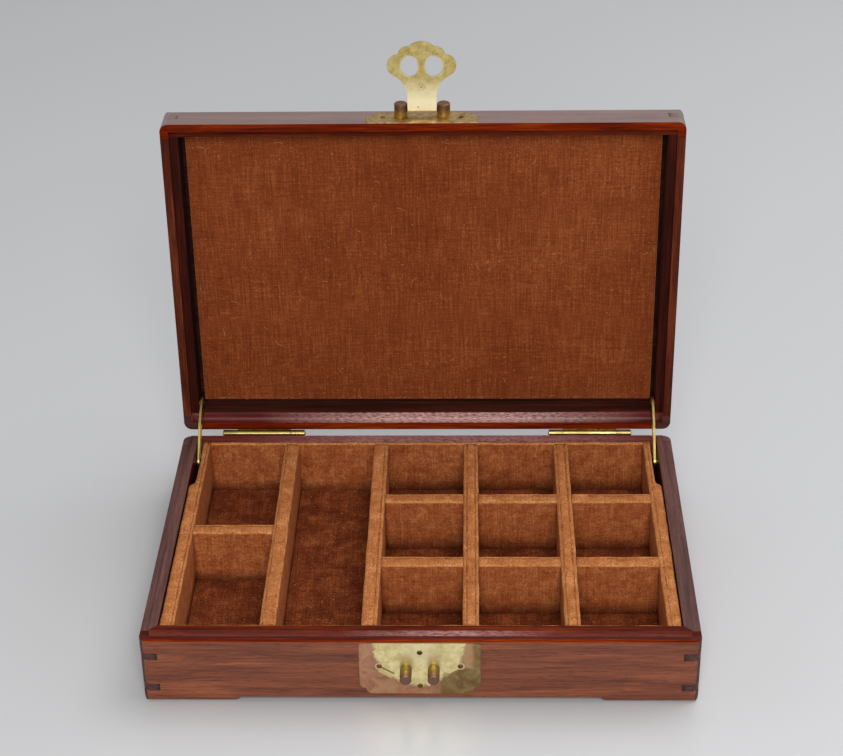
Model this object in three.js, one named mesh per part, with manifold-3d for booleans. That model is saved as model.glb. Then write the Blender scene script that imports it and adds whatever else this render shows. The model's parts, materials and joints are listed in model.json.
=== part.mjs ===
import * as THREE from "three";
import { mergeVertices } from "three/addons/utils/BufferGeometryUtils.js";
import Module from "manifold-3d";

// A hardwood jewellery box with a hinged lid, a velvet-covered insert of twelve compartments,
// brass butt hinges, slotted lid stays and a lobed hasp that drops over two lock posts.
// Millimetres. +Z is up, +X is to the right and -Y is the front. The lid stands open.

// Case
const WIDTH = 254;
const DEPTH = 172;
const BASE_HEIGHT = 35;
const LID_HEIGHT = 18.6;
const WALL = 8;
const RIM_GAP = 0.3;
const RIM_STRIP = 4.4;
const LIP_HEIGHT = 3.1;
const LIP_CLEARANCE = 0.4;
const CORNER_RADIUS = 4;
const LID_EDGE_ROUND = 3.5;
const BASE_EDGE_ROUND = 3;

// Joinery
const GLUE_LINE = 0.12;
const BASE_FINGERS = 2;
const BASE_FINGER_HEIGHT = 3.9;
const LID_FINGERS = 1;
const LID_FINGER_HEIGHT = 4.6;
const FOOT_LENGTH = 39.6;
const FOOT_RELIEF = 2.3;
const FOOT_SLOPE = 5.4;
const BOTTOM_THICKNESS = 3.2;
const PANEL_REBATE = 4;
const TOP_THICKNESS = 3;
const LINING_THICKNESS = 1.2;
const LINING_MARGIN = 1.8;

// Insert
const COLUMNS = 5;
const LEFT_ROWS = 2;
const GRID_COLUMNS = 3;
const GRID_ROWS = 3;
const INSERT_CLEARANCE = 0.4;
const INSERT_RISE = 1.8;
const INSERT_FLOOR = 2.4;
const SIDE_WALL = 6.5;
const END_WALL = 2;
const DIVIDER = 7.3;
const TOP_ROUND = 1.3;
const END_TOP_ROUND = 0.8;
const NOTCH_LENGTH = 42;
const NOTCH_DEPTH = 3.1;
const NOTCH_SLOPE = 5;
const SEAT = 0.05;

// Hinges
const LID_OPEN_ANGLE = 91;
const HINGE_MARGIN = 20.3;
const HINGE_LENGTH = 42.8;
const END_KNUCKLE = 7.2;
const KNUCKLE_GAP = 0.15;
const BARREL_DIAMETER = 3.8;
const HINGE_SETBACK = 2.4;
const HINGE_PIN_DIAMETER = 1.8;
const PIN_CLEARANCE = 0.08;
const PIN_DOME = 0.5;
const LEAF_WIDTH = 3.4;
const LEAF_THICKNESS = 0.8;
const KERF_CLEARANCE = 0.1;

// Lid stays
const STAY_RATIO = -0.53;
const STAY_WIDTH = 6.6;
const STAY_THICKNESS = 1.2;
const STAY_STANDOFF = 0.45;
const STAY_PLAY = 0.1;
const STAY_ROOM = 0.4;
const STAY_SCREW_DIAMETER = 2;
const STAY_SCREW_HEAD = 4.4;
const STAY_SCREW_HEAD_HEIGHT = 0.9;
const STAY_SCREW_BITE = 5;
const SLOT_CLEARANCE = 0.3;
const LID_PIVOT_INSET = 4;
const LID_PIVOT_DEPTH = 6.7;
const GUIDE_INSET = 8;
const GUIDE_DEPTH = 5.5;

// Lock plates, posts and hasp. The plates are let into the wood and stand a little proud of it
const PLATE_THICKNESS = 0.8;
const PLATE_PROUD = 0.2;
const PLATE_CLEARANCE = 0.1;
const PLATE_RIM_MARGIN = 0.6;
const BASE_PLATE_WIDTH = 55;
const BASE_PLATE_HEIGHT = 28.9;
const LID_PLATE_WIDTH = 54;
const LID_PLATE_HEIGHT = 12.8;
const PLATE_LOBE = 3.4;
const LOBE_STEP = 0.9;
const LOCK_POST_DIAMETER = 5.4;
const LOCK_POST_LENGTH = 8.6;
const LOCK_POST_SPACING = 12.65;
const LOCK_POST_DEPTH = 15.2;
const LOCK_BAR_HOLE = 2.2;
const LOCK_BAR_EDGE = 1.9;
const HASP_POST_DIAMETER = 6.4;
const HASP_POST_LENGTH = 7;
const HASP_POST_SPACING = 20.7;
const HASP_POST_HEIGHT = 8.6;
const POST_TENON_DIAMETER = 3;
const POST_TENON_LENGTH = 5.4;
const POST_CHAMFER = 0.4;
const HASP_OPEN_ANGLE = 90;
const HASP_THICKNESS = 1.2;
const HASP_STANDOFF = 4;
const HASP_SIDE_PLAY = 0.15;
const HASP_BARREL_DIAMETER = 3.2;
const HASP_PIN_DIAMETER = 1.6;
const HASP_PIN_BITE = 3;
const NECK_LENGTH = 8;
const HASP_LIFT = 1.8;

// The two openings of the hasp, flatter on their inner side
const OPENING_CENTRE = 5.6;
const OPENING_OUTER = 4.5;
const OPENING_INNER = 3.7;
const OPENING_HALF_HEIGHT = 5.2;
const ROUND_HANDLE = 0.5523;
const FLAT_HANDLE = 0.72;

// The lobes of the hasp: where they meet, from its middle line and from its openings, and
// how far each bulges beyond the chord between its ends
const LOWER_CUSP = [12.9, -4.9];
const UPPER_CUSP = [11.3, 5.8];
const CROWN_CUSP = [6, 9.8];
const NECK_FLARE = -1.2;
const SIDE_LOBE = 4.5;
const UPPER_LOBE = 1.4;
const CROWN_LOBE = 2.6;

// Nails
const NAIL_HEAD_DIAMETER = 2.6;
const NAIL_HEAD_HEIGHT = 0.5;
const NAIL_SHANK_DIAMETER = 1.2;
const NAIL_LENGTH = 5;
const BASE_NAIL_SPREAD = 36.8;
const BASE_NAIL_DEPTH = 13.7;
const TOP_NAIL_DEPTH = 5.9;
const BOTTOM_NAIL_DEPTH = 24.9;
const LID_NAIL_SPREAD = 38;
const LID_NAIL_HEIGHT = 7.2;
const BORE_CLEARANCE = 0.06;

// Places that follow from the sizes
const HALF_WIDTH = WIDTH / 2;
const HALF_DEPTH = DEPTH / 2;
const LID_LOW = BASE_HEIGHT + RIM_GAP;
const LID_HIGH = LID_LOW + LID_HEIGHT;
const LID_STRIP = RIM_STRIP - LIP_CLEARANCE;
const LID_REBATE = LIP_HEIGHT + LIP_CLEARANCE;
const HINGE_CENTRE = HALF_WIDTH - HINGE_MARGIN - HINGE_LENGTH / 2;
const HINGE_Y = HALF_DEPTH + HINGE_SETBACK;
const HINGE_Z = BASE_HEIGHT + RIM_GAP / 2;
const BOTTOM_LOW = FOOT_RELIEF;
const INSERT_LOW = BOTTOM_LOW + BOTTOM_THICKNESS + SEAT;
const INSERT_FLOOR_TOP = INSERT_LOW + INSERT_FLOOR;
const INSERT_HIGH = BASE_HEIGHT + INSERT_RISE;
const INSERT_HALF_WIDTH = HALF_WIDTH - WALL - INSERT_CLEARANCE;
const INSERT_HALF_DEPTH = HALF_DEPTH - WALL - INSERT_CLEARANCE;
const HASP_Z = LID_LOW + HASP_POST_HEIGHT;
const HASP_Y = -HALF_DEPTH - HASP_STANDOFF;
const HEAD_REACH = HASP_POST_HEIGHT + RIM_GAP + LOCK_POST_DEPTH - HASP_LIFT;
const PLATE_FACE = -HALF_DEPTH - PLATE_PROUD;
const PLATE_BACK = PLATE_FACE + PLATE_THICKNESS;

// How finely curves are cut, how far a cutter runs past what it cuts, and the form of a domed end
const BEYOND = 2;
const ROUND_SEGMENTS = 24;
const SMALL_SEGMENTS = 14;
const CURVE_STEPS = 5;
const LOBE_STEPS = 10;
const SLOT_STEPS = 8;
const ARM_STEPS = 18;
const CAP_STEPS = 6;
const DOME_SHOULDER = 0.72;
const DOME_RISE = 0.7;

const WOOD = { color: 0x6b3426, roughness: 0.38, metalness: 0 };
const WOOD_TOP = { color: 0x5c3a38, roughness: 0.35, metalness: 0 };
const VELVET = { color: 0x8a4a22, roughness: 0.95, metalness: 0 };
const VELVET_FLOOR = { color: 0x5e2c14, roughness: 0.95, metalness: 0 };
const BRASS = { color: 0xc8b26a, roughness: 0.3, metalness: 1 };
const DARK_BRASS = { color: 0x6a4a3a, roughness: 0.45, metalness: 1 };

const wasm = await Module();
wasm.setup();

// Solids from geometries, and back
function solidOf(geometry) {
  const bare = geometry.clone();
  bare.deleteAttribute("normal");
  bare.deleteAttribute("uv");
  const merged = mergeVertices(bare, 1e-4);
  return new wasm.Manifold(
    new wasm.Mesh({
      numProp: 3,
      vertProperties: merged.attributes.position.array,
      triVerts: new Uint32Array(merged.index.array),
    }),
  );
}

function geometryOf(solid) {
  const mesh = solid.getMesh();
  const geometry = new THREE.BufferGeometry();
  geometry.setAttribute("position", new THREE.BufferAttribute(mesh.vertProperties, 3));
  geometry.setIndex(new THREE.BufferAttribute(mesh.triVerts, 1));
  geometry.computeVertexNormals();
  return geometry;
}

function box(x0, x1, y0, y1, z0, z1) {
  const geometry = new THREE.BoxGeometry(Math.abs(x1 - x0), Math.abs(y1 - y0), Math.abs(z1 - z0));
  return solidOf(geometry.translate((x0 + x1) / 2, (y0 + y1) / 2, (z0 + z1) / 2));
}

// A box that stands inset from the four sides of the case
function insetBox(inset, z0, z1) {
  const x = HALF_WIDTH - inset;
  const y = HALF_DEPTH - inset;
  return box(-x, x, -y, y, z0, z1);
}

// A profile drawn in two axes and drawn out along the third, from low to high
const PLANES = {
  xy: (low) => new THREE.Matrix4().makeTranslation(0, 0, low),
  xz: (low, high) =>
    new THREE.Matrix4()
      .makeBasis(new THREE.Vector3(1, 0, 0), new THREE.Vector3(0, 0, 1), new THREE.Vector3(0, -1, 0))
      .setPosition(0, high, 0),
  yz: (low) =>
    new THREE.Matrix4()
      .makeBasis(new THREE.Vector3(0, 1, 0), new THREE.Vector3(0, 0, 1), new THREE.Vector3(1, 0, 0))
      .setPosition(low, 0, 0),
};

function drawnOut(shape, plane, low, high, curveSegments = CURVE_STEPS) {
  const geometry = new THREE.ExtrudeGeometry(shape, {
    depth: high - low,
    bevelEnabled: false,
    steps: 1,
    curveSegments,
  });
  return solidOf(geometry.applyMatrix4(PLANES[plane](low, high)));
}

function rod(axis, x, y, z, low, high, radius, segments = ROUND_SEGMENTS) {
  const geometry = new THREE.CylinderGeometry(radius, radius, high - low, segments);
  const middle = (low + high) / 2;
  if (axis === "x") geometry.rotateZ(Math.PI / 2).translate(middle, y, z);
  if (axis === "y") geometry.translate(x, middle, z);
  if (axis === "z") geometry.rotateX(Math.PI / 2).translate(x, y, middle);
  return solidOf(geometry);
}

// The profile of a domed end from its rim to its tip, upwards or downwards from a height
function domed(radius, height, rise) {
  return [
    [radius, height],
    [radius * DOME_SHOULDER, height + rise * DOME_RISE],
    [0, height + rise],
  ];
}

// A turned piece: radius and height pairs from its lower end to its upper end, about Y
function turned(profile, segments = ROUND_SEGMENTS) {
  const points = profile.map(([radius, height]) => new THREE.Vector2(radius, height));
  return new THREE.LatheGeometry(points, segments);
}

function piece(parent, name, solid, look) {
  const geometry = solid.isBufferGeometry ? solid : geometryOf(solid);
  const mesh = new THREE.Mesh(geometry, new THREE.MeshStandardMaterial({ ...look, flatShading: true }));
  mesh.name = name;
  parent.add(mesh);
  return mesh;
}

function mirroredX(solid) {
  return solid.mirror([1, 0, 0]);
}

// A rectangle with round corners, each with its own radius: lower left, lower right,
// upper right, upper left
function roundedRectangle(x0, x1, y0, y1, lowLeft, lowRight, highRight, highLeft) {
  const shape = new THREE.Shape();
  shape.moveTo(x0 + lowLeft, y0);
  shape.lineTo(x1 - lowRight, y0);
  if (lowRight > 0) shape.absarc(x1 - lowRight, y0 + lowRight, lowRight, -Math.PI / 2, 0);
  shape.lineTo(x1, y1 - highRight);
  if (highRight > 0) shape.absarc(x1 - highRight, y1 - highRight, highRight, 0, Math.PI / 2);
  shape.lineTo(x0 + highLeft, y1);
  if (highLeft > 0) shape.absarc(x0 + highLeft, y1 - highLeft, highLeft, Math.PI / 2, Math.PI);
  shape.lineTo(x0, y0 + lowLeft);
  if (lowLeft > 0) shape.absarc(x0 + lowLeft, y0 + lowLeft, lowLeft, Math.PI, Math.PI * 1.5);
  return shape;
}

// The outside of the case between two heights, its lower or upper edges rounded over
function easedBlock(z0, z1, lowRound, highRound) {
  const rounds = [lowRound, lowRound, highRound, highRound];
  const corners = Array(4).fill(CORNER_RADIUS);
  const plan = roundedRectangle(-HALF_WIDTH, HALF_WIDTH, -HALF_DEPTH, HALF_DEPTH, ...corners);
  const front = roundedRectangle(-HALF_WIDTH, HALF_WIDTH, z0, z1, ...rounds);
  const side = roundedRectangle(-HALF_DEPTH, HALF_DEPTH, z0, z1, ...rounds);
  return drawnOut(plan, "xy", z0, z1)
    .intersect(drawnOut(front, "xz", -HALF_DEPTH - BEYOND, HALF_DEPTH + BEYOND))
    .intersect(drawnOut(side, "yz", -HALF_WIDTH - BEYOND, HALF_WIDTH + BEYOND));
}

// Cuts a ring of walls into front, back, left and right boards with box joints at the corners:
// the fingers of the side boards show as end grain in the front and back. Above mitreFrom the
// boards meet on a mitre.
function jointedBoards(ring, z0, z1, mitreFrom, fingers, fingerHeight) {
  const shoulderX = HALF_WIDTH - WALL;
  const shoulderY = HALF_DEPTH - WALL;
  const height = mitreFrom - z0;

  function fingerBoxes(inset, side) {
    const boxes = [];
    for (let i = 0; i < fingers; i += 1) {
      const middle = z0 + (height * (i + 0.5)) / fingers;
      const low = middle - fingerHeight / 2 + inset;
      const high = middle + fingerHeight / 2 - inset;
      for (const end of [-1, 1]) {
        boxes.push(
          box(
            side * (shoulderX + inset),
            side * (HALF_WIDTH + BEYOND),
            end * (shoulderY - BEYOND),
            end * (HALF_DEPTH + BEYOND),
            low,
            high,
          ),
        );
      }
    }
    return boxes;
  }

  // The plan of one board above the mitre height, on the front or the left
  function mitrePlan(inset, alongX) {
    const long = alongX ? HALF_WIDTH : HALF_DEPTH;
    const short = alongX ? HALF_DEPTH : HALF_WIDTH;
    const corners = [
      [-long + inset, -short],
      [long - inset, -short],
      [long - inset - WALL, -short + WALL],
      [-long + inset + WALL, -short + WALL],
    ];
    const points = corners.map(([a, b]) => (alongX ? new THREE.Vector2(a, b) : new THREE.Vector2(b, -a)));
    return new THREE.Shape(points);
  }

  const top = z1 + BEYOND;
  const hasMitre = z1 > mitreFrom;
  const frontSlab = box(-HALF_WIDTH, HALF_WIDTH, -HALF_DEPTH, -shoulderY, z0, hasMitre ? mitreFrom : top);
  const leftSlab = box(-HALF_WIDTH, -shoulderX, -shoulderY + GLUE_LINE, shoulderY - GLUE_LINE, z0, top);
  const frontRegion = hasMitre
    ? frontSlab.add(drawnOut(mitrePlan(0, true), "xy", mitreFrom, top))
    : frontSlab;
  const leftRegion = hasMitre
    ? leftSlab.add(drawnOut(mitrePlan(GLUE_LINE * 2, false), "xy", mitreFrom + GLUE_LINE, top))
    : leftSlab;

  const slots = [-1, 1].flatMap((side) => fingerBoxes(0, side));
  const end = (sign) => {
    const region = sign < 0 ? frontRegion : frontRegion.mirror([0, 1, 0]);
    return slots.reduce((board, slot) => board.subtract(slot), region.intersect(ring));
  };
  const flank = (sign) => {
    const region = sign < 0 ? leftRegion : mirroredX(leftRegion);
    const whole = fingerBoxes(GLUE_LINE, sign).reduce((sum, finger) => sum.add(finger), region);
    return whole.intersect(ring);
  };
  return { front: end(-1), back: end(1), left: flank(-1), right: flank(1) };
}

// The low ogee relief between the feet, cut through the walls along one axis
function footRelief(plane, half, reach) {
  const start = -half + FOOT_LENGTH;
  const end = -start;
  const shape = new THREE.Shape();
  shape.moveTo(start, -BEYOND);
  shape.lineTo(end, -BEYOND);
  shape.lineTo(end, 0);
  const turn = FOOT_SLOPE / 2;
  shape.bezierCurveTo(end - turn, 0, end - turn, FOOT_RELIEF, end - FOOT_SLOPE, FOOT_RELIEF);
  shape.lineTo(start + FOOT_SLOPE, FOOT_RELIEF);
  shape.bezierCurveTo(start + turn, FOOT_RELIEF, start + turn, 0, start, 0);
  return drawnOut(shape, plane, -reach, reach);
}

const group = new THREE.Group();
const base = new THREE.Group();
group.add(base);

// The lid group turns about the hinge pins; its pieces are drawn as they lie when closed
const lidTurn = new THREE.Group();
lidTurn.position.set(0, HINGE_Y, HINGE_Z);
lidTurn.rotation.x = -THREE.MathUtils.degToRad(LID_OPEN_ANGLE);
const lid = new THREE.Group();
lid.position.set(0, -HINGE_Y, -HINGE_Z);
lidTurn.add(lid);
group.add(lidTurn);

// Hinge leaves, tangent to the barrel, and the saw kerfs in the back boards that take them
function hingeLeaf(centre, z0, z1, endKnuckles) {
  const left = centre - HINGE_LENGTH / 2;
  const right = centre + HINGE_LENGTH / 2;
  const spans = endKnuckles
    ? [
        [left, left + END_KNUCKLE],
        [right - END_KNUCKLE, right],
      ]
    : [[left + END_KNUCKLE + KNUCKLE_GAP, right - END_KNUCKLE - KNUCKLE_GAP]];
  const plate = box(left, right, HALF_DEPTH - LEAF_WIDTH, HALF_DEPTH, z0, z1);
  const joined = spans.reduce((sum, [from, to]) => {
    const tab = box(from, to, HALF_DEPTH - LEAF_WIDTH, HINGE_Y, z0, z1);
    return sum.add(tab).add(rod("x", 0, HINGE_Y, HINGE_Z, from, to, BARREL_DIAMETER / 2));
  }, plate);
  const bore = HINGE_PIN_DIAMETER / 2 + PIN_CLEARANCE;
  return joined.subtract(rod("x", 0, HINGE_Y, HINGE_Z, left - BEYOND, right + BEYOND, bore));
}

const BASE_LEAF = [HINGE_Z - BARREL_DIAMETER / 2, HINGE_Z - BARREL_DIAMETER / 2 + LEAF_THICKNESS];
const LID_LEAF = [HINGE_Z + BARREL_DIAMETER / 2 - LEAF_THICKNESS, HINGE_Z + BARREL_DIAMETER / 2];

function hingeKerfs([low, high]) {
  const half = HINGE_LENGTH / 2 + KERF_CLEARANCE;
  const inner = HALF_DEPTH - LEAF_WIDTH - KERF_CLEARANCE;
  const [z0, z1] = [low - KERF_CLEARANCE, high + KERF_CLEARANCE];
  return [-HINGE_CENTRE, HINGE_CENTRE].map((centre) =>
    box(centre - half, centre + half, inner, HALF_DEPTH + BEYOND, z0, z1),
  );
}

function hingePin(centre) {
  const radius = HINGE_PIN_DIAMETER / 2;
  const half = HINGE_LENGTH / 2;
  const profile = [...domed(radius, -half, -PIN_DOME).reverse(), ...domed(radius, half, PIN_DOME)];
  return turned(profile).rotateZ(Math.PI / 2).translate(centre, HINGE_Y, HINGE_Z);
}

for (const [side, centre] of [
  ["left", -HINGE_CENTRE],
  ["right", HINGE_CENTRE],
]) {
  piece(base, `${side}_hinge_base_leaf`, hingeLeaf(centre, ...BASE_LEAF, true), BRASS);
  piece(base, `${side}_hinge_pin`, hingePin(centre), BRASS);
  piece(lid, `${side}_hinge_lid_leaf`, hingeLeaf(centre, ...LID_LEAF, false), BRASS);
}

// Where the stays are held: the pivot on the lid when closed, and the guide screw in the base
const STAY_FACE = HALF_WIDTH - WALL;
const PIVOT_CLOSED = new THREE.Vector2(HALF_DEPTH - WALL - LID_PIVOT_INSET, LID_LOW + LID_PIVOT_DEPTH);
const GUIDE = new THREE.Vector2(HALF_DEPTH - WALL - GUIDE_INSET, BASE_HEIGHT - GUIDE_DEPTH);
const HINGE_AXIS = new THREE.Vector2(HINGE_Y, HINGE_Z);
const ORIGIN = new THREE.Vector2();

// The guide screw as the arm sees it when the lid has closed by an angle: the arm turns at a
// constant share of the lid, so this path is the centre line of its slot
function guideInArm(closedBy) {
  const open = THREE.MathUtils.degToRad(LID_OPEN_ANGLE);
  const pivot = PIVOT_CLOSED.clone().rotateAround(HINGE_AXIS, closedBy - open);
  return GUIDE.clone().sub(pivot).rotateAround(ORIGIN, -(1 + STAY_RATIO) * closedBy);
}

const SLOT_PATH =Array.from({ length: SLOT_STEPS + 1 }, (_, i) =>
  guideInArm(THREE.MathUtils.degToRad(LID_OPEN_ANGLE) * (1 - i / SLOT_STEPS)),
);

// A band of even width along a line, with round ends
function band(points, half) {
  const outline = [];
  const tangentAt = (i) => {
    const before = points[Math.max(i - 1, 0)];
    const after = points[Math.min(i + 1, points.length - 1)];
    return after.clone().sub(before).normalize();
  };
  const offset = (i, side) => {
    const t = tangentAt(i);
    return new THREE.Vector2(-t.y, t.x).multiplyScalar(side * half).add(points[i]);
  };
  const cap = (i, side) => {
    const start = offset(i, side);
    for (let step = 1; step < CAP_STEPS; step += 1) {
      outline.push(start.clone().rotateAround(points[i], (-Math.PI * step) / CAP_STEPS));
    }
  };
  const last = points.length - 1;
  for (let i = 0; i <= last; i += 1) outline.push(offset(i, 1));
  cap(last, 1);
  for (let i = last; i >= 0; i -= 1) outline.push(offset(i, -1));
  cap(0, -1);
  return outline;
}

const STAY_OUTER = STAY_FACE - STAY_STANDOFF - STAY_PLAY;
const STAY_INNER = STAY_OUTER - STAY_THICKNESS;
const ARM_LINE = new THREE.SplineCurve([ORIGIN, ...SLOT_PATH]).getPoints(ARM_STEPS);

function stayArm(sign) {
  const outline = new THREE.Shape(band(ARM_LINE, STAY_WIDTH / 2).reverse());
  outline.holes.push(new THREE.Path(band(SLOT_PATH, STAY_SCREW_DIAMETER / 2 + SLOT_CLEARANCE)));
  const [low, high] = sign > 0 ? [STAY_INNER, STAY_OUTER] : [-STAY_OUTER, -STAY_INNER];
  const bore = STAY_SCREW_DIAMETER / 2 + BORE_CLEARANCE * 2;
  return drawnOut(outline, "yz", low, high).subtract(
    rod("x", 0, 0, 0, low - BEYOND, high + BEYOND, bore, SMALL_SEGMENTS),
  );
}

// The recess through the back rims in which the arm lies when the lid is open: the outline of
// the arm with some room round it, drawn with its pivot at the origin
function stayRecess(sign) {
  const outline = new THREE.Shape(band(ARM_LINE, STAY_WIDTH / 2 + STAY_ROOM).reverse());
  const low = STAY_INNER - STAY_ROOM;
  return sign > 0 ? drawnOut(outline, "yz", low, STAY_FACE) : drawnOut(outline, "yz", -STAY_FACE, -low);
}

function baseStayRecess(sign) {
  const open = THREE.MathUtils.degToRad(LID_OPEN_ANGLE);
  const pivot = PIVOT_CLOSED.clone().rotateAround(HINGE_AXIS, -open);
  return stayRecess(sign).translate([0, pivot.x, pivot.y]);
}

function lidStayRecess(sign) {
  return stayRecess(sign).rotate([LID_OPEN_ANGLE, 0, 0]).translate([0, PIVOT_CLOSED.x, PIVOT_CLOSED.y]);
}

// A round-headed screw with a standoff collar, its head towards the middle of the box
function staySolid(sign, y, z) {
  const shank = STAY_SCREW_DIAMETER / 2;
  const head = STAY_SCREW_HEAD / 2;
  const collar = STAY_STANDOFF;
  const underHead = collar + STAY_THICKNESS + STAY_PLAY * 2;
  const profile = [
    [0, -STAY_SCREW_BITE],
    [shank, -STAY_SCREW_BITE + shank],
    [shank, SEAT],
    [head, SEAT],
    [head, collar],
    [shank, collar],
    [shank, underHead],
    ...domed(head, underHead, STAY_SCREW_HEAD_HEIGHT),
  ];
  return turned(profile, SMALL_SEGMENTS)
    .rotateZ((sign * Math.PI) / 2)
    .translate(sign * STAY_FACE, y, z);
}

function stayBore(sign, point) {
  const radius = STAY_SCREW_DIAMETER / 2 + BORE_CLEARANCE;
  const from = STAY_FACE - BEYOND;
  const to = STAY_FACE + STAY_SCREW_BITE + BORE_CLEARANCE;
  const [low, high] = sign > 0 ? [from, to] : [-to, -from];
  return rod("x", 0, point.x, point.y, low, high, radius, SMALL_SEGMENTS);
}

for (const [side, sign] of [
  ["left", -1],
  ["right", 1],
]) {
  const stayTurn = new THREE.Group();
  stayTurn.position.set(0, PIVOT_CLOSED.x, PIVOT_CLOSED.y);
  stayTurn.rotation.x = THREE.MathUtils.degToRad(LID_OPEN_ANGLE);
  lid.add(stayTurn);
  piece(stayTurn, `${side}_stay_arm`, stayArm(sign), BRASS);
  piece(lid, `${side}_stay_pivot`, staySolid(sign, PIVOT_CLOSED.x, PIVOT_CLOSED.y), BRASS);
  piece(base, `${side}_stay_guide_screw`, staySolid(sign, GUIDE.x, GUIDE.y), BRASS);
}

// Posts, nails and the holes that take them, all square to the front face
function lockPost(x, z, diameter, length) {
  const radius = diameter / 2;
  const tenon = POST_TENON_DIAMETER / 2;
  const profile = [
    [0, -length],
    [radius - POST_CHAMFER, -length],
    [radius, -length + POST_CHAMFER],
    [radius, -SEAT],
    [tenon, -SEAT],
    [tenon, POST_TENON_LENGTH],
    [0, POST_TENON_LENGTH],
  ];
  return turned(profile).translate(x, PLATE_FACE, z);
}

function nail(x, z) {
  const head = NAIL_HEAD_DIAMETER / 2;
  const shank = NAIL_SHANK_DIAMETER / 2;
  const profile = [
    ...domed(head, -SEAT, -NAIL_HEAD_HEIGHT).reverse(),
    [shank, -SEAT],
    [shank, NAIL_LENGTH - shank * 2],
    [0, NAIL_LENGTH],
  ];
  return turned(profile, SMALL_SEGMENTS).translate(x, PLATE_FACE, z);
}

function frontBore(x, z, diameter, depth) {
  const radius = diameter / 2 + BORE_CLEARANCE;
  const high = PLATE_FACE + depth + BORE_CLEARANCE;
  return rod("y", x, 0, z, PLATE_FACE - BEYOND, high, radius, SMALL_SEGMENTS);
}

const BASE_NAILS = [
  ["base_plate_nail_left", -BASE_NAIL_SPREAD / 2, BASE_HEIGHT - BASE_NAIL_DEPTH],
  ["base_plate_nail_right", BASE_NAIL_SPREAD / 2, BASE_HEIGHT - BASE_NAIL_DEPTH],
  ["base_plate_nail_top", 0, BASE_HEIGHT - TOP_NAIL_DEPTH],
  ["base_plate_nail_bottom", 0, BASE_HEIGHT - BOTTOM_NAIL_DEPTH],
];
const LID_NAILS = [
  ["lid_plate_nail_left", -LID_NAIL_SPREAD / 2, LID_LOW + LID_NAIL_HEIGHT],
  ["lid_plate_nail_right", LID_NAIL_SPREAD / 2, LID_LOW + LID_NAIL_HEIGHT],
];
const LOCK_POSTS = [
  ["left_lock_post", -LOCK_POST_SPACING / 2, BASE_HEIGHT - LOCK_POST_DEPTH],
  ["right_lock_post", LOCK_POST_SPACING / 2, BASE_HEIGHT - LOCK_POST_DEPTH],
];
const HASP_POSTS = [
  ["left_hasp_post", -HASP_POST_SPACING / 2, HASP_Z],
  ["right_hasp_post", HASP_POST_SPACING / 2, HASP_Z],
];

const nailBores = (list) => list.map(([, x, z]) => frontBore(x, z, NAIL_SHANK_DIAMETER, NAIL_LENGTH));
const postBores = (list) => list.map(([, x, z]) => frontBore(x, z, POST_TENON_DIAMETER, POST_TENON_LENGTH));
const baseBores = [...nailBores(BASE_NAILS), ...postBores(LOCK_POSTS)];
const lidBores = [...nailBores(LID_NAILS), ...postBores(HASP_POSTS)];
const cutBy = (solid, cutters) => cutters.reduce((left, cutter) => left.subtract(cutter), solid);

// A plate, or the recess for it, whose two far corners are stepped in two quarter lobes
function platePlan(width, nearZ, farZ) {
  const half = width / 2;
  const away = Math.sign(farZ - nearZ);
  const step = PLATE_LOBE * LOBE_STEP;
  const reach = PLATE_LOBE + step;
  const shape = new THREE.Shape();
  const lobes = (side) => {
    const corner = [
      [half, farZ - away * reach],
      [half, farZ - away * PLATE_LOBE],
      [half - step, farZ - away * step],
      [half - step, farZ],
      [half - reach, farZ],
    ].map(([x, z]) => [side * x, z]);
    return side > 0 ? corner : corner.reverse();
  };
  shape.moveTo(-half, nearZ);
  shape.lineTo(half, nearZ);
  const right = lobes(1);
  shape.lineTo(...right[0]);
  shape.quadraticCurveTo(...right[1], ...right[2]);
  shape.quadraticCurveTo(...right[3], ...right[4]);
  const left = lobes(-1);
  shape.lineTo(...left[0]);
  shape.quadraticCurveTo(...left[1], ...left[2]);
  shape.quadraticCurveTo(...left[3], ...left[4]);
  return shape;
}

function lockPlate(width, nearZ, farZ, bores) {
  return cutBy(drawnOut(platePlan(width, nearZ, farZ), "xz", PLATE_FACE, PLATE_BACK), bores);
}

// The recess takes the plate with some room round it
function plateRecess(width, nearZ, farZ) {
  const room = PLATE_CLEARANCE * Math.sign(farZ - nearZ);
  const plan = platePlan(width + PLATE_CLEARANCE * 2, nearZ - room, farZ + room);
  return drawnOut(plan, "xz", PLATE_FACE - BEYOND, PLATE_BACK + SEAT);
}

const BASE_PLATE = [
  BASE_PLATE_WIDTH,
  BASE_HEIGHT - PLATE_RIM_MARGIN,
  BASE_HEIGHT - PLATE_RIM_MARGIN - BASE_PLATE_HEIGHT,
];
const LID_PLATE = [
  LID_PLATE_WIDTH,
  LID_LOW + PLATE_RIM_MARGIN,
  LID_LOW + PLATE_RIM_MARGIN + LID_PLATE_HEIGHT,
];

// Base boards, bottom panel and lock furniture
const grooveLow = BOTTOM_LOW - GLUE_LINE;
const grooveHigh = BOTTOM_LOW + BOTTOM_THICKNESS + GLUE_LINE;
const baseRing = cutBy(
  easedBlock(0, BASE_HEIGHT, BASE_EDGE_ROUND, 0).add(
    insetBox(RIM_STRIP, BASE_HEIGHT - BEYOND, BASE_HEIGHT + LIP_HEIGHT),
  ),
  [
    insetBox(WALL, -BEYOND, BASE_HEIGHT + LIP_HEIGHT + BEYOND),
    insetBox(WALL - PANEL_REBATE, grooveLow, grooveHigh),
    footRelief("xz", HALF_WIDTH, HALF_DEPTH + BEYOND),
    footRelief("yz", HALF_DEPTH, HALF_WIDTH + BEYOND),
    stayBore(-1, GUIDE),
    stayBore(1, GUIDE),
    baseStayRecess(-1),
    baseStayRecess(1),
    plateRecess(...BASE_PLATE),
    ...hingeKerfs(BASE_LEAF),
    ...baseBores,
  ],
);
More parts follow.
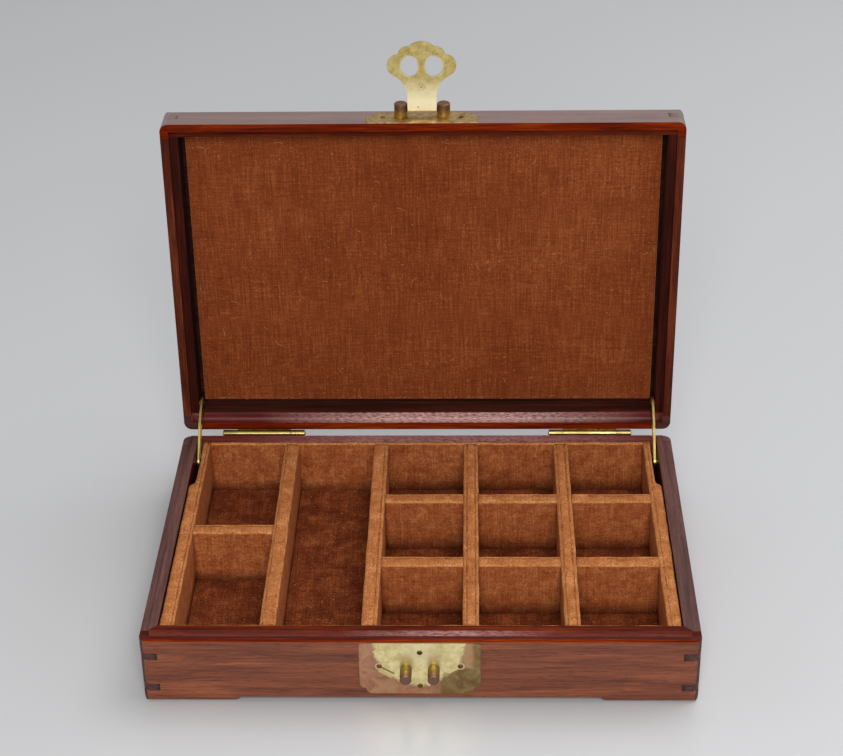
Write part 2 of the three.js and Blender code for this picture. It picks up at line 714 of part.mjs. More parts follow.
const baseBoards = jointedBoards(
  baseRing,
  0,
  BASE_HEIGHT + LIP_HEIGHT,
  BASE_HEIGHT,
  BASE_FINGERS,
  BASE_FINGER_HEIGHT,
);
for (const [side, board] of Object.entries(baseBoards)) piece(base, `base_${side}_board`, board, WOOD);
const bottomInset = WALL - PANEL_REBATE + GLUE_LINE;
piece(base, "base_bottom_panel", insetBox(bottomInset, BOTTOM_LOW, BOTTOM_LOW + BOTTOM_THICKNESS), WOOD_TOP);

piece(base, "base_lock_plate", lockPlate(...BASE_PLATE, baseBores), BRASS);
const barHoleY = PLATE_FACE - LOCK_POST_LENGTH + LOCK_BAR_EDGE;
for (const [name, x, z] of LOCK_POSTS) {
  const post = solidOf(lockPost(x, z, LOCK_POST_DIAMETER, LOCK_POST_LENGTH));
  const reach = LOCK_POST_DIAMETER;
  const hole = rod("x", 0, barHoleY, z, x - reach, x + reach, LOCK_BAR_HOLE / 2, SMALL_SEGMENTS);
  piece(base, name, post.subtract(hole), DARK_BRASS);
}
for (const [name, x, z] of BASE_NAILS) piece(base, name, nail(x, z), BRASS);

// Lid boards, top panel and velvet-covered lining board
const lidRing = cutBy(easedBlock(LID_LOW, LID_HIGH, 0, LID_EDGE_ROUND), [
  insetBox(WALL, LID_LOW - BEYOND, LID_HIGH + BEYOND),
  insetBox(LID_STRIP, LID_LOW - BEYOND, LID_LOW + LID_REBATE),
  insetBox(WALL - PANEL_REBATE, LID_HIGH - TOP_THICKNESS - GLUE_LINE, LID_HIGH + BEYOND),
  stayBore(-1, PIVOT_CLOSED),
  stayBore(1, PIVOT_CLOSED),
  lidStayRecess(-1),
  lidStayRecess(1),
  plateRecess(...LID_PLATE),
  ...hingeKerfs(LID_LEAF),
  ...lidBores,
]);
const lidBoards = jointedBoards(lidRing, LID_LOW, LID_HIGH, LID_HIGH, LID_FINGERS, LID_FINGER_HEIGHT);
for (const [side, board] of Object.entries(lidBoards)) piece(lid, `lid_${side}_board`, board, WOOD);
const topInset = WALL - PANEL_REBATE + GLUE_LINE;
piece(lid, "lid_top_panel", insetBox(topInset, LID_HIGH - TOP_THICKNESS, LID_HIGH), WOOD_TOP);
const liningHigh = LID_HIGH - TOP_THICKNESS - SEAT;
piece(lid, "lid_lining", insetBox(WALL + LINING_MARGIN, liningHigh - LINING_THICKNESS, liningHigh), VELVET);

piece(lid, "lid_lock_plate", lockPlate(...LID_PLATE, lidBores), BRASS);
for (const [name, x, z] of HASP_POSTS) {
  const post = solidOf(lockPost(x, z, HASP_POST_DIAMETER, HASP_POST_LENGTH));
  const inner = (HASP_POST_SPACING - HASP_POST_DIAMETER) / 2;
  const bite = inner + HASP_PIN_BITE + BORE_CLEARANCE;
  const [low, high] = x > 0 ? [0, bite] : [-bite, 0];
  const hole = rod("x", 0, HASP_Y, z, low, high, HASP_PIN_DIAMETER / 2 + PIN_CLEARANCE);
  piece(lid, name, post.subtract(hole), DARK_BRASS);
}
for (const [name, x, z] of LID_NAILS) piece(lid, name, nail(x, z), BRASS);

const haspPinHalf = (HASP_POST_SPACING - HASP_POST_DIAMETER) / 2 + HASP_PIN_BITE - BORE_CLEARANCE;
const haspPin = rod("x", 0, HASP_Y, HASP_Z, -haspPinHalf, haspPinHalf, HASP_PIN_DIAMETER / 2);
piece(lid, "hasp_pin", haspPin, BRASS);

// The hasp hangs from its rolled eye: a neck, then a head of five lobes with two openings
const NECK_HALF = (HASP_POST_SPACING - HASP_POST_DIAMETER) / 2 - HASP_SIDE_PLAY;

// Adds an arc from the pen to a point, bulging by a sagitta to the right of the way there
function bulgeTo(shape, end, sagitta) {
  const start = shape.currentPoint.clone();
  const chord = end.clone().sub(start);
  const half = chord.length() / 2;
  const radius = (half * half + sagitta * sagitta) / (2 * Math.abs(sagitta));
  const side = Math.sign(sagitta);
  const normal = new THREE.Vector2(chord.y, -chord.x).normalize().multiplyScalar(side);
  const inward = normal.multiplyScalar(radius - Math.abs(sagitta));
  const centre = start.clone().add(end).multiplyScalar(0.5).sub(inward);
  const from = Math.atan2(start.y - centre.y, start.x - centre.x);
  const to = Math.atan2(end.y - centre.y, end.x - centre.x);
  shape.absarc(centre.x, centre.y, radius, from, to, side < 0);
}

// One opening of the hasp: a round outer half and a flatter inner half
function haspOpening(side) {
  const x = side * OPENING_CENTRE;
  const outer = x + side * OPENING_OUTER;
  const inner = x - side * OPENING_INNER;
  const high = HEAD_REACH + OPENING_HALF_HEIGHT;
  const low = HEAD_REACH - OPENING_HALF_HEIGHT;
  const path = new THREE.Path();
  const quarter = (x0, y0, x1, y1, handle, levelFirst) => {
    const [ax, ay] = levelFirst ? [x0 + (x1 - x0) * handle, y0] : [x0, y0 + (y1 - y0) * handle];
    const [bx, by] = levelFirst ? [x1, y1 + (y0 - y1) * handle] : [x1 + (x0 - x1) * handle, y1];
    path.bezierCurveTo(ax, ay, bx, by, x1, y1);
  };
  path.moveTo(x, high);
  quarter(x, high, outer, HEAD_REACH, ROUND_HANDLE, true);
  quarter(outer, HEAD_REACH, x, low, ROUND_HANDLE, false);
  quarter(x, low, inner, HEAD_REACH, FLAT_HANDLE, true);
  quarter(inner, HEAD_REACH, x, high, FLAT_HANDLE, false);
  return path;
}

function haspOutline() {
  const [lower, upper, crown] = [LOWER_CUSP, UPPER_CUSP, CROWN_CUSP].map(
    ([x, y]) => new THREE.Vector2(x, HEAD_REACH + y),
  );
  const flip = (point) => new THREE.Vector2(-point.x, point.y);
  const shape = new THREE.Shape();
  shape.moveTo(-NECK_HALF, 0);
  shape.lineTo(NECK_HALF, 0);
  shape.lineTo(NECK_HALF, NECK_LENGTH);
  bulgeTo(shape, lower, NECK_FLARE);
  bulgeTo(shape, upper, SIDE_LOBE);
  bulgeTo(shape, crown, UPPER_LOBE);
  bulgeTo(shape, flip(crown), CROWN_LOBE);
  bulgeTo(shape, flip(upper), UPPER_LOBE);
  bulgeTo(shape, flip(lower), SIDE_LOBE);
  bulgeTo(shape, new THREE.Vector2(-NECK_HALF, NECK_LENGTH), NECK_FLARE);
  shape.holes.push(haspOpening(-1), haspOpening(1));
  return shape;
}

// The sheet leaves its rolled eye on the side that lies towards the box when the hasp is shut
function haspSolid() {
  const near = -HASP_BARREL_DIAMETER / 2;
  const sheet = drawnOut(haspOutline(), "xz", near, near + HASP_THICKNESS, LOBE_STEPS);
  const eye = rod("x", 0, 0, 0, -NECK_HALF, NECK_HALF, HASP_BARREL_DIAMETER / 2);
  const bore = HASP_PIN_DIAMETER / 2 + PIN_CLEARANCE;
  return sheet.add(eye).subtract(rod("x", 0, 0, 0, -NECK_HALF - BEYOND, NECK_HALF + BEYOND, bore));
}

// The outline is drawn upwards from the eye; half a turn hangs it down over the lock posts, and
// from there it is raised until it stands square to the front
const haspTurn = new THREE.Group();
haspTurn.position.set(0, HASP_Y, HASP_Z);
haspTurn.rotation.x = Math.PI - THREE.MathUtils.degToRad(HASP_OPEN_ANGLE);
lid.add(haspTurn);
piece(haspTurn, "hasp", haspSolid(), BRASS);

// The velvet-covered insert: a floor, four walls stepped in for the stays, and the dividers
const insert = new THREE.Group();
group.add(insert);
const innerHalfWidth = INSERT_HALF_WIDTH - SIDE_WALL;
const innerHalfDepth = INSERT_HALF_DEPTH - END_WALL;
const columnWidth = (innerHalfWidth * 2 - DIVIDER * (COLUMNS - 1)) / COLUMNS;
const wallLow = INSERT_FLOOR_TOP + SEAT;

function stayNotch(sign) {
  const outer = INSERT_HALF_WIDTH + BEYOND;
  const inner = INSERT_HALF_WIDTH - NOTCH_DEPTH;
  const back = INSERT_HALF_DEPTH + BEYOND;
  const front = INSERT_HALF_DEPTH - NOTCH_LENGTH;
  const shape = new THREE.Shape();
  shape.moveTo(outer, back);
  shape.lineTo(inner, back);
  shape.lineTo(inner, front + NOTCH_SLOPE);
  const middle = front + NOTCH_SLOPE / 2;
  shape.bezierCurveTo(inner, middle, INSERT_HALF_WIDTH, middle, INSERT_HALF_WIDTH, front);
  shape.lineTo(outer, front);
  const notch = drawnOut(shape, "xy", INSERT_LOW - BEYOND, INSERT_HIGH + BEYOND);
  return sign > 0 ? notch : mirroredX(notch);
}

// Walls and dividers of card with velvet drawn over them, so that their top edges are round
function wallAlongY(x0, x1, halfLength) {
  const profile = roundedRectangle(x0, x1, wallLow, INSERT_HIGH, 0, 0, TOP_ROUND, TOP_ROUND);
  return drawnOut(profile, "xz", -halfLength, halfLength);
}

function wallAlongX(x0, x1, y0, y1, round) {
  return drawnOut(roundedRectangle(y0, y1, wallLow, INSERT_HIGH, 0, 0, round, round), "yz", x0, x1);
}

const notches = [stayNotch(-1), stayNotch(1)];
const floorPlate = box(
  -INSERT_HALF_WIDTH,
  INSERT_HALF_WIDTH,
  -INSERT_HALF_DEPTH,
  INSERT_HALF_DEPTH,
  INSERT_LOW,
  INSERT_FLOOR_TOP,
);
piece(insert, "insert_floor", cutBy(floorPlate, notches), VELVET_FLOOR);
for (const [side, sign] of [
  ["left", -1],
  ["right", 1],
]) {
  const edges = [sign * INSERT_HALF_WIDTH, sign * innerHalfWidth];
  const wall = wallAlongY(Math.min(...edges), Math.max(...edges), INSERT_HALF_DEPTH);
  piece(insert, `insert_${side}_wall`, cutBy(wall, notches), VELVET);
}
for (const [side, sign] of [
  ["front", -1],
  ["back", 1],
]) {
  const half = innerHalfWidth - SEAT;
  const edges = [sign * INSERT_HALF_DEPTH, sign * innerHalfDepth];
  const wall = wallAlongX(-half, half, Math.min(...edges), Math.max(...edges), END_TOP_ROUND);
  piece(insert, `insert_${side}_wall`, wall, VELVET);
}

const columnLeft = (column) => -innerHalfWidth + column * (columnWidth + DIVIDER);
for (let column = 0; column < COLUMNS - 1; column += 1) {
  const x0 = columnLeft(column) + columnWidth;
  const divider = wallAlongY(x0, x0 + DIVIDER, innerHalfDepth - SEAT);
  piece(insert, `long_divider_${column + 1}`, divider, VELVET);
}

// Short dividers split a column into rows of equal depth
function shortDividers(label, column, rows) {
  const rowDepth = (innerHalfDepth * 2 - DIVIDER * (rows - 1)) / rows;
  const x0 = columnLeft(column) + SEAT;
  const x1 = columnLeft(column) + columnWidth - SEAT;
  for (let row = 0; row < rows - 1; row += 1) {
    const y0 = -innerHalfDepth + (row + 1) * rowDepth + row * DIVIDER;
    piece(insert, `${label}_${row + 1}`, wallAlongX(x0, x1, y0, y0 + DIVIDER, TOP_ROUND), VELVET);
  }
}

shortDividers("left_short_divider", 0, LEFT_ROWS);
for (let i = 0; i < GRID_COLUMNS; i += 1) {
  const column = COLUMNS - GRID_COLUMNS + i;
  shortDividers(`short_divider_${String.fromCharCode(97 + i)}`, column, GRID_ROWS);
}

// The origin lies under the middle of everything, at the height of the feet
group.updateMatrixWorld(true);
const bounds = new THREE.Box3().setFromObject(group, true);
const middle = bounds.getCenter(new THREE.Vector3());
for (const body of [base, lidTurn, insert]) body.position.y -= middle.y;

export default group;
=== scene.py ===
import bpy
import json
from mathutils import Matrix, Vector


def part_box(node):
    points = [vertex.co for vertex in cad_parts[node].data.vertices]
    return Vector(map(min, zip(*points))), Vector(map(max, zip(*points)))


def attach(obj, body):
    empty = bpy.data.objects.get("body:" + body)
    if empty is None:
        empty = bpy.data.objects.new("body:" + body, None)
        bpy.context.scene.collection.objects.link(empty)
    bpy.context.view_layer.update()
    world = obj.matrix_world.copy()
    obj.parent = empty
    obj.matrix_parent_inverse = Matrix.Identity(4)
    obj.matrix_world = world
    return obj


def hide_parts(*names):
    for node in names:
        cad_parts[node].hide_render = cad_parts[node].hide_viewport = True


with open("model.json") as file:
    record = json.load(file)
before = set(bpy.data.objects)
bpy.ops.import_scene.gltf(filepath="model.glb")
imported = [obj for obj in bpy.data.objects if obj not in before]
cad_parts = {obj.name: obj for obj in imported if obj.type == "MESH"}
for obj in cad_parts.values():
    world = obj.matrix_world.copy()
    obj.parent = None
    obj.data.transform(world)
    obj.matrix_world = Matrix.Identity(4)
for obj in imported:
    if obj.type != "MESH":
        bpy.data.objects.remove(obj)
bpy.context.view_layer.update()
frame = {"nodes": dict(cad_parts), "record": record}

from collections import namedtuple
import json
import math
import random

import bmesh
import bpy
from mathutils import Euler, Matrix, Vector, noise

# A hardwood jewellery box with a velvet insert, standing open. Metres, in the frame of the CAD.
MM = 0.001
NODES = frame["nodes"]
RECORD = frame["record"]["behaviour"]
BODY_OF = {node: body for body, members in RECORD["bodies"].items() for node in members}
LID_JOINT = next(joint for joint in RECORD["joints"] if joint["name"] == "lid_hinge")
LID_AXIS = Vector(LID_JOINT["pos_m"])
LID_OPEN = math.radians(-LID_JOINT["range_deg"][0])


# Nodes and colours

def linear(code):
    """An sRGB hex value as linear red, green, blue and alpha."""
    parts = [int(code[i:i + 2], 16) / 255 for i in (1, 3, 5)]
    return tuple(p / 12.92 if p <= 0.04045 else ((p + 0.055) / 1.055) ** 2.4 for p in parts) + (1,)


def connect(tree, node, inputs):
    """Links sockets to other nodes, or sets them to constants."""
    for socket, value in inputs.items():
        if isinstance(value, bpy.types.NodeSocket):
            tree.links.new(value, node.inputs[socket])
        else:
            node.inputs[socket].default_value = value


def add(tree, kind, inputs, **settings):
    """Adds a node with its settings and its inputs, and gives back its outputs."""
    node = tree.nodes.new(kind)
    for name, value in settings.items():
        setattr(node, name, value)
    connect(tree, node, inputs)
    return node.outputs


def maths(tree, operation, *values, clamp=False):
    """One step of arithmetic."""
    return add(tree, "ShaderNodeMath", dict(enumerate(values)), operation=operation,
               use_clamp=clamp)[0]


def product(tree, one, other):
    return maths(tree, "MULTIPLY", one, other)


def colour_ramp(tree, value, *stops):
    """Colours that change with a value. Each stop is a value and an sRGB hex colour."""
    node = tree.nodes.new("ShaderNodeValToRGB")
    elements = node.color_ramp.elements
    while len(elements) < len(stops):
        elements.new(0.5)
    for element, (place, colour) in zip(elements, stops):
        element.position = place
        element.color = linear(colour)
    tree.links.new(value, node.inputs["Fac"])
    return node.outputs[0]


def ramp_up(tree, value, start, end, low=0, high=1):
    """A share that is 0 below the start and rises to 1 at the end, or goes from low to high."""
    return add(tree, "ShaderNodeMapRange", {
        "Value": value, "From Min": start, "From Max": end, "To Min": low, "To Max": high})[0]


def ramp_down(tree, value, start, end):
    """A share that is 1 below the start and falls to 0 at the end."""
    return ramp_up(tree, value, start, end, 1, 0)


def over(tree, share, under, top):
    """The top colour laid over the one under it by a share."""
    return add(tree, "ShaderNodeMix", {0: share, 6: under, 7: top}, data_type="RGBA")[2]


def pattern(tree, vector, size_mm=None, detail=2, roughness=0.5, distortion=0):
    """Smooth noise between 0 and 1. Its grains have a size, unless the vector is stretched."""
    return add(tree, "ShaderNodeTexNoise", {
        "Vector": vector, "Scale": 1 / (size_mm * MM) if size_mm else 1, "Detail": detail,
        "Roughness": roughness, "Distortion": distortion})["Fac"]


def split(tree, vector):
    return add(tree, "ShaderNodeSeparateXYZ", {0: vector})


AXES = {"x": 0, "y": 1, "z": 2}


def stretched(tree, place, grain, along_mm, across_mm):
    """Coordinates that are one unit long per grain length and one unit wide per grain width."""
    scale = [1 / (across_mm * MM)] * 3
    scale[AXES[grain]] = 1 / (along_mm * MM)
    return add(tree, "ShaderNodeMapping", {"Vector": place, "Scale": scale})[0]


def distance_mm(tree, place, x, z, tall=1.0):
    """How far a point of an upright face is from x and z, in millimetres. Tall stretches the
    circles of equal distance in height."""
    flat = add(tree, "ShaderNodeMapping", {
        "Vector": place, "Location": (-x / MM, 0, -z / MM / tall),
        "Scale": (1 / MM, 0, 1 / MM / tall)})
    return add(tree, "ShaderNodeVectorMath", {0: flat[0]}, operation="LENGTH")["Value"]


def bump(tree, height, strength, distance):
    return add(tree, "ShaderNodeBump", {
        "Height": height, "Strength": strength, "Distance": distance})[0]


def new_material(name, preview):
    material = bpy.data.materials.new(name)
    material.use_nodes = True
    material.diffuse_color = linear(preview)
    tree = material.node_tree
    tree.nodes.clear()
    shader = tree.nodes.new("ShaderNodeBsdfPrincipled")
    add(tree, "ShaderNodeOutputMaterial", {"Surface": shader.outputs[0]})
    place = add(tree, "ShaderNodeTexCoord", {})["Object"]
    return material, tree, shader, place


# Camera and studio

PHOTO_FOCAL_PIXELS = 1997.4
PHOTO_WIDTH_PIXELS = 843
camera = bpy.data.cameras.new("camera")
camera.sensor_width = 36
camera.lens = PHOTO_FOCAL_PIXELS / PHOTO_WIDTH_PIXELS * camera.sensor_width
camera.clip_start = 0.01
camera_object = bpy.data.objects.new("camera", camera)
camera_object.location = (0.02398, -0.80219, 0.59751)
camera_object.rotation_euler = Euler([math.radians(a) for a in (59.097, 0.8361, 1.1978)])
bpy.context.scene.collection.objects.link(camera_object)
bpy.context.scene.camera = camera_object
bpy.context.scene.view_settings.view_transform = "Standard"


def area_light(name, place, target, size, power, colour):
    """A rectangular soft box that faces its target and isn't seen itself."""
    light = bpy.data.lights.new(name, "AREA")
    light.shape = "RECTANGLE"
    light.size, light.size_y = size
    light.energy = power
    light.color = linear(colour)[:3]
    lamp = bpy.data.objects.new(name, light)
    lamp.location = place
    lamp.rotation_euler = (Vector(target) - Vector(place)).to_track_quat("-Z", "Y").to_euler()
    lamp.visible_camera = False
    bpy.context.scene.collection.objects.link(lamp)


area_light("front_softbox", (0.0, -1.6, 0.7), (0, 0, 0.08), (0.7, 0.4), 6.5, "#fffdfb")
area_light("camera_softbox", (0.05, -1.05, 0.95), (0, 0, 0.03), (0.5, 0.35), 9, "#fffdfb")
area_light("top_softbox", (0.6, 0.45, 1.55), (0.15, 0.15, 0), (1.6, 1.3), 17, "#fdfdff")
area_light("left_fill", (-1.3, 0.2, 0.7), (0, 0, 0.1), (0.8, 0.8), 2, "#fbfcff")
area_light("right_fill", (1.3, 0.4, 0.6), (0, 0, 0.1), (0.8, 0.8), 3.2, "#ffffff")


def studio_world():
    """Plain pale surroundings: what is seen or mirrored is pale grey, and what lights is dimmer."""
    world = bpy.data.worlds.new("studio")
    world.use_nodes = True
    tree = world.node_tree
    tree.nodes.clear()
    ray = add(tree, "ShaderNodeLightPath", {})
    seen = maths(tree, "ADD", ray["Is Camera Ray"], ray["Is Glossy Ray"], clamp=True)
    seen = maths(tree, "ADD", seen, ray["Is Transmission Ray"], clamp=True)
    light = add(tree, "ShaderNodeBackground", {"Color": linear("#dcdcda"), "Strength": 0.36})
    view = add(tree, "ShaderNodeBackground", {"Color": linear("#bdbec1"), "Strength": 1})
    mixed = add(tree, "ShaderNodeMixShader", {0: seen, 1: light[0], 2: view[0]})
    add(tree, "ShaderNodeOutputWorld", {"Surface": mixed[0]})
    bpy.context.scene.world = world


studio_world()


def paper_floor():
    """A wide flat floor of background paper."""
    mesh = bmesh.new()
    bmesh.ops.create_grid(mesh, x_segments=1, y_segments=1, size=4)
    data = bpy.data.meshes.new("paper_floor")
    mesh.to_mesh(data)
    mesh.free()
    floor = bpy.data.objects.new("paper_floor", data)
    bpy.context.scene.collection.objects.link(floor)
    # Coated background paper: pale grey and even, with a faint sheen that mirrors what stands on it
    paper = "#c3c4c6"
    material, tree, shader, place = new_material("coated_background_paper", paper)
    connect(tree, shader, {
        "Base Color": linear(paper), "Roughness": 0.3, "Specular IOR Level": 0.35})
    data.materials.append(material)


paper_floor()


# Wood

# How the wood of one kind of face shines: roughness, clear coat, reflection, depth of the pores in
# mm, and how much painted glint its middle gets (its rubbed share), with how far out in mm that
# holds and ends
Shine = namedtuple("Shine", "gloss coat mirror pore_depth rubbed near far",
                   defaults=(0.38, 0.12, 0.25, 0.12, 0, 0, 0))
COAT_ROUGHNESS = 0.22
# Where along x the painted glints are strongest
GLINT_MIDDLE = 13 * MM


def polished_rosewood(name, grain, dark, middle, light, shine):
    """Rosewood, planed, oiled and rubbed up: wide bands and fine streaks of dark and red along
    the grain, short open pores, and a soft shine that is broken where the pores are. Some faces
    get pale, streaky specks towards the middle of the box, painted glints of the light."""
    material, tree, shader, place = new_material(name, middle)
    bands = pattern(tree, stretched(tree, place, grain, 80, 5), None, 3, 0.55, 0.5)
    streaks = pattern(tree, stretched(tree, place, grain, 22, 0.6), None, 4, 0.62, 0.3)
    pores = pattern(tree, stretched(tree, place, grain, 5, 0.35))
    tone = product(tree, maths(tree, "ADD", bands, streaks), 0.5)
    body = colour_ramp(tree, tone, (0.34, dark), (0.5, middle), (0.66, light))
    open_pore = ramp_up(tree, pores, 0.56, 0.68)
    colour = over(tree, product(tree, open_pore, 0.45), body, linear("#1d0c0a"))
    # Painted glints: pale specks laid over the colour, strongest near the middle of the box
    if shine.rubbed:
        away = maths(tree, "SUBTRACT", split(tree, place)[0], GLINT_MIDDLE)
        away = maths(tree, "ABSOLUTE", away)
        specks = pattern(tree, stretched(tree, place, grain, 2.4, 0.5), None, 3)
        glint_mask = product(tree, ramp_up(tree, specks, 0.31, 0.62),
                       ramp_down(tree, away, shine.near * MM, shine.far * MM))
        colour = over(tree, product(tree, glint_mask, shine.rubbed), colour, linear("#cfa49e"))
    connect(tree, shader, {
        "Base Color": colour,
        "Roughness": ramp_up(tree, streaks, 0.3, 0.7, shine.gloss, shine.gloss + 0.16),
        "Normal": bump(tree, product(tree, open_pore, -1.0), 0.3, shine.pore_depth * MM),
        "Specular IOR Level": shine.mirror,
        "Coat Weight": shine.coat,
        "Coat Roughness": COAT_ROUGHNESS})
    return material


def rosewood_end_grain(name, dark, light, gloss=0.65, coat=0.0, mirror=0.2):
    """Rosewood cut across and rubbed down: darker and duller than the faces, with pores as dots.
    On the lid's front edge its end grain takes that edge's shine, and a paler colour that is painted
    reflection."""
    material, tree, shader, place = new_material(name, dark)
    rings = pattern(tree, stretched(tree, place, "z", 1.2, 2.4), None, 3)
    dots = pattern(tree, place, 0.5, 1)
    body = colour_ramp(tree, rings, (0.35, dark), (0.65, light))
    pore = product(tree, ramp_up(tree, dots, 0.6, 0.7), 0.5)
    connect(tree, shader, {
        "Base Color": over(tree, pore, body, linear("#1b0f0e")),
        "Roughness": gloss,
        "Specular IOR Level": mirror,
        "Coat Weight": coat,
        "Coat Roughness": COAT_ROUGHNESS})
    return material


# Each board was cut from the same wood, and these tones are lit and shaded copies of it, painted
# light: brown on the outer faces, red on the rims that catch the light, purple grey where the
# narrow side rims mirror the pale room, and nearly black painted shade inside.
WOOD_TONES = {
    "outer_face": ("#52281a", "#763f2a", "#975536"),
    # Painted light: the rims' tones follow how the light falls on each of them
    "lit_red_rim": ("#3a0e02", "#6b1c05", "#9a3b0a"),
    "red_brown_rim": ("#31110a", "#4f1e10", "#75371d"),
    "dull_rim": ("#351a15", "#4e2a23", "#62382f"),
    # Painted reflection: the narrow side rims mirror the pale room as purple grey
    "side_rim": ("#321c1a", "#57342e", "#724b43"),
    "back_rim": ("#471712", "#672a22", "#833b30"),
    "inner_lip": ("#2e0d06", "#541b0c", "#742e14"),
    # The base's front lip face: painted reflection of the pale floor, with painted glints
    "glinting_lip": ("#4c1a11", "#6c2a1c", "#853c2a"),
    # Painted reflection: the lid's front edge is greyed as if it mirrors the pale room
    "lid_edge": ("#583e37", "#6f4e45", "#815e54"),
    # Painted shade: the faces that look into the box
    "shadowed_inside": ("#180908", "#261310", "#3a1e19"),
    "brown_inside": ("#260f0b", "#3f1b14", "#56291e"),
    "red_brown_step": ("#210a06", "#37130b", "#521e11"),
    "wine_inside": ("#2c0d0b", "#481512", "#641f1b"),
    "wine_step": ("#33100d", "#571a17", "#752925"),
}
# A rubbed share above 0 gives that kind of face painted glints
SHINE = {
    "lit_red_rim": Shine(0.5, 0.0, 0.02),
    "red_brown_rim": Shine(0.5, 0.0, 0.08),
    "dull_rim": Shine(0.5, 0.0, 0.12),
    "side_rim": Shine(0.42, 0.1, 0.25),
    "back_rim": Shine(0.4, 0.1, 0.25, 0.15, 0.5, 40, 110),
    "inner_lip": Shine(0.5, 0.0, 0.05),
    "glinting_lip": Shine(0.4, 0.0, 0.12, 0.4, 0.6, 8, 48),
    "lid_edge": Shine(0.3, 0.8, 0.5),
    "shadowed_inside": Shine(0.6, 0.0, 0.03),
    "brown_inside": Shine(0.5, 0.0, 0.1),
    "red_brown_step": Shine(0.5, 0.0, 0.05),
    "wine_inside": Shine(0.38, 0.0, 0.14, 0.3),
    "wine_step": Shine(0.36, 0.08, 0.2, 0.12, 1.0, 32, 100),
}
woods = {}


def rosewood(tone, grain):
    """The rosewood of one kind of face with its grain along one axis, made once."""
    if (tone, grain) not in woods:
        woods[tone, grain] = polished_rosewood(
            f"polished_rosewood_{tone}_{grain}", grain, *WOOD_TONES[tone],
            SHINE.get(tone, Shine()))
    return woods[tone, grain]


END_GRAIN = {
    "base_end": rosewood_end_grain("rosewood_end_grain_base", "#402c2a", "#593c37"),
    "lid_end": rosewood_end_grain("rosewood_end_grain_lid", "#4c322d", "#66443b"),
    # The lid's front end grain is painted paler, a painted reflection like the lid's front edge
    "lid_front_end": rosewood_end_grain(
        "rosewood_end_grain_lid_front", "#543c35", "#6a4e45", 0.35, 0.8, 0.5),
}


# Velvet

# The size in mm of the patches in which the nap lies over, and how much the patches, the threads
# and the tufts of the pile show
Nap = namedtuple("Nap", "patch_mm patch thread pile")
PALE_DUST = "#c79a72"


def cotton_velvet(name, colours, nap, lie, dust=0.0, smears=0.0):
    """Short-pile cotton velvet glued to card: soft patches where the nap lies over, the rows of
    warp and weft showing through, a speckled pile, a little pale dust, and smears where something
    has rubbed it. The threads are drawn about twice as coarse as they are, or they wouldn't
    show."""
    deep, middle, pale = colours
    material, tree, shader, place = new_material(name, middle)
    patches = pattern(tree, place, nap.patch_mm, 4, 0.6, 0.6)
    tufts = pattern(tree, place, 0.9, 2, 0.7)
    warp = pattern(tree, stretched(tree, place, lie[1], 16, 0.55))
    weft = pattern(tree, stretched(tree, place, lie[0], 9, 0.55))
    shares = (nap.patch, nap.pile, nap.thread, nap.thread * 0.7)
    level = 0.5
    for layer, share in zip((patches, tufts, warp, weft), shares):
        centred = maths(tree, "MULTIPLY_ADD", layer, share, -share / 2)
        level = maths(tree, "ADD", centred, level)
    colour = colour_ramp(tree, level, (0.28, deep), (0.5, middle), (0.74, pale))
    if smears:
        rubs = pattern(tree, stretched(tree, place, "x", 16, 6), None, 5, 0.7)
        rub = product(tree, ramp_up(tree, rubs, 0.6, 0.78), smears)
        colour = over(tree, rub, colour, linear(pale))
    if dust:
        flecks = ramp_up(tree, pattern(tree, place, 1.3, 1), 0.7, 0.76)
        colour = over(tree, product(tree, flecks, dust), colour, linear(PALE_DUST))
    connect(tree, shader, {
        "Base Color": colour,
        "Normal": bump(tree, level, 0.5, 0.4 * MM),
        "Roughness": 0.95,
        "Specular IOR Level": 0.1,
        "Sheen Weight": 0.15,
        "Sheen Roughness": 0.5,
        "Sheen Tint": linear(pale)})
    return material


WALL_COLOURS = ("#7a391c", "#9e562e", "#c07e4d")
WALL_NAP = Nap(5, 0.6, 0.3, 0.65)
WALL_VELVET = {
    "x": cotton_velvet("wall_velvet_along_x", WALL_COLOURS, WALL_NAP, "xz", smears=0.35),
    "y": cotton_velvet("wall_velvet_along_y", WALL_COLOURS, WALL_NAP, "yz"),
}
LINING_VELVET = cotton_velvet(
    "lining_velvet", ("#602b0f", "#7c3a1b", "#9b582e"), Nap(40, 0.35, 0.5, 0.5), "xz",
    dust=0.3, smears=0.55)
# The cell floors are darker than the walls, for the lie of the nap and as painted shade in the cells
FLOOR_VELVET = cotton_velvet(
    "floor_velvet", ("#471c0b", "#6b3117", "#9a562e"), Nap(9, 0.65, 0.3, 0.6), "xy",
    dust=0.5, smears=0.25)
# The wall tops and the lining's turned edges: paler for wear of the nap and for painted light where
# they face it
LIT_RUBBED_VELVET = cotton_velvet(
    "lit_rubbed_velvet", ("#7f421f", "#a96739", "#cf9360"), Nap(9, 0.55, 0.2, 0.7), "xy")
# Painted shade: the folds along the wall tops are darker
CREASE_SHADE_VELVET = cotton_velvet(
    "crease_shade_velvet", ("#6e391a", "#8d542b", "#ab7341"), Nap(6, 0.9, 0.15, 0.6), "xy")
# The rounded edges of the wall tops: paler for frayed pile and for a painted sheen
FRAYED_SHEEN_VELVET = cotton_velvet(
    "frayed_sheen_velvet", ("#8e5226", "#b27541", "#d09e68"), Nap(6, 0.6, 0.2, 0.7), "xy")


def spun_cotton():
    """Loose cotton fibres caught in the pile: matt and pale, a little darker here and there."""
    material, tree, shader, place = new_material("spun_cotton", "#c08a5c")
    shade = pattern(tree, place, 9, 1)
    connect(tree, shader, {
        "Base Color": colour_ramp(tree, shade, (0.35, "#9a6236"), (0.65, "#bd8656")),
        "Roughness": 0.9})
    return material


LINT = spun_cotton()


# Brass

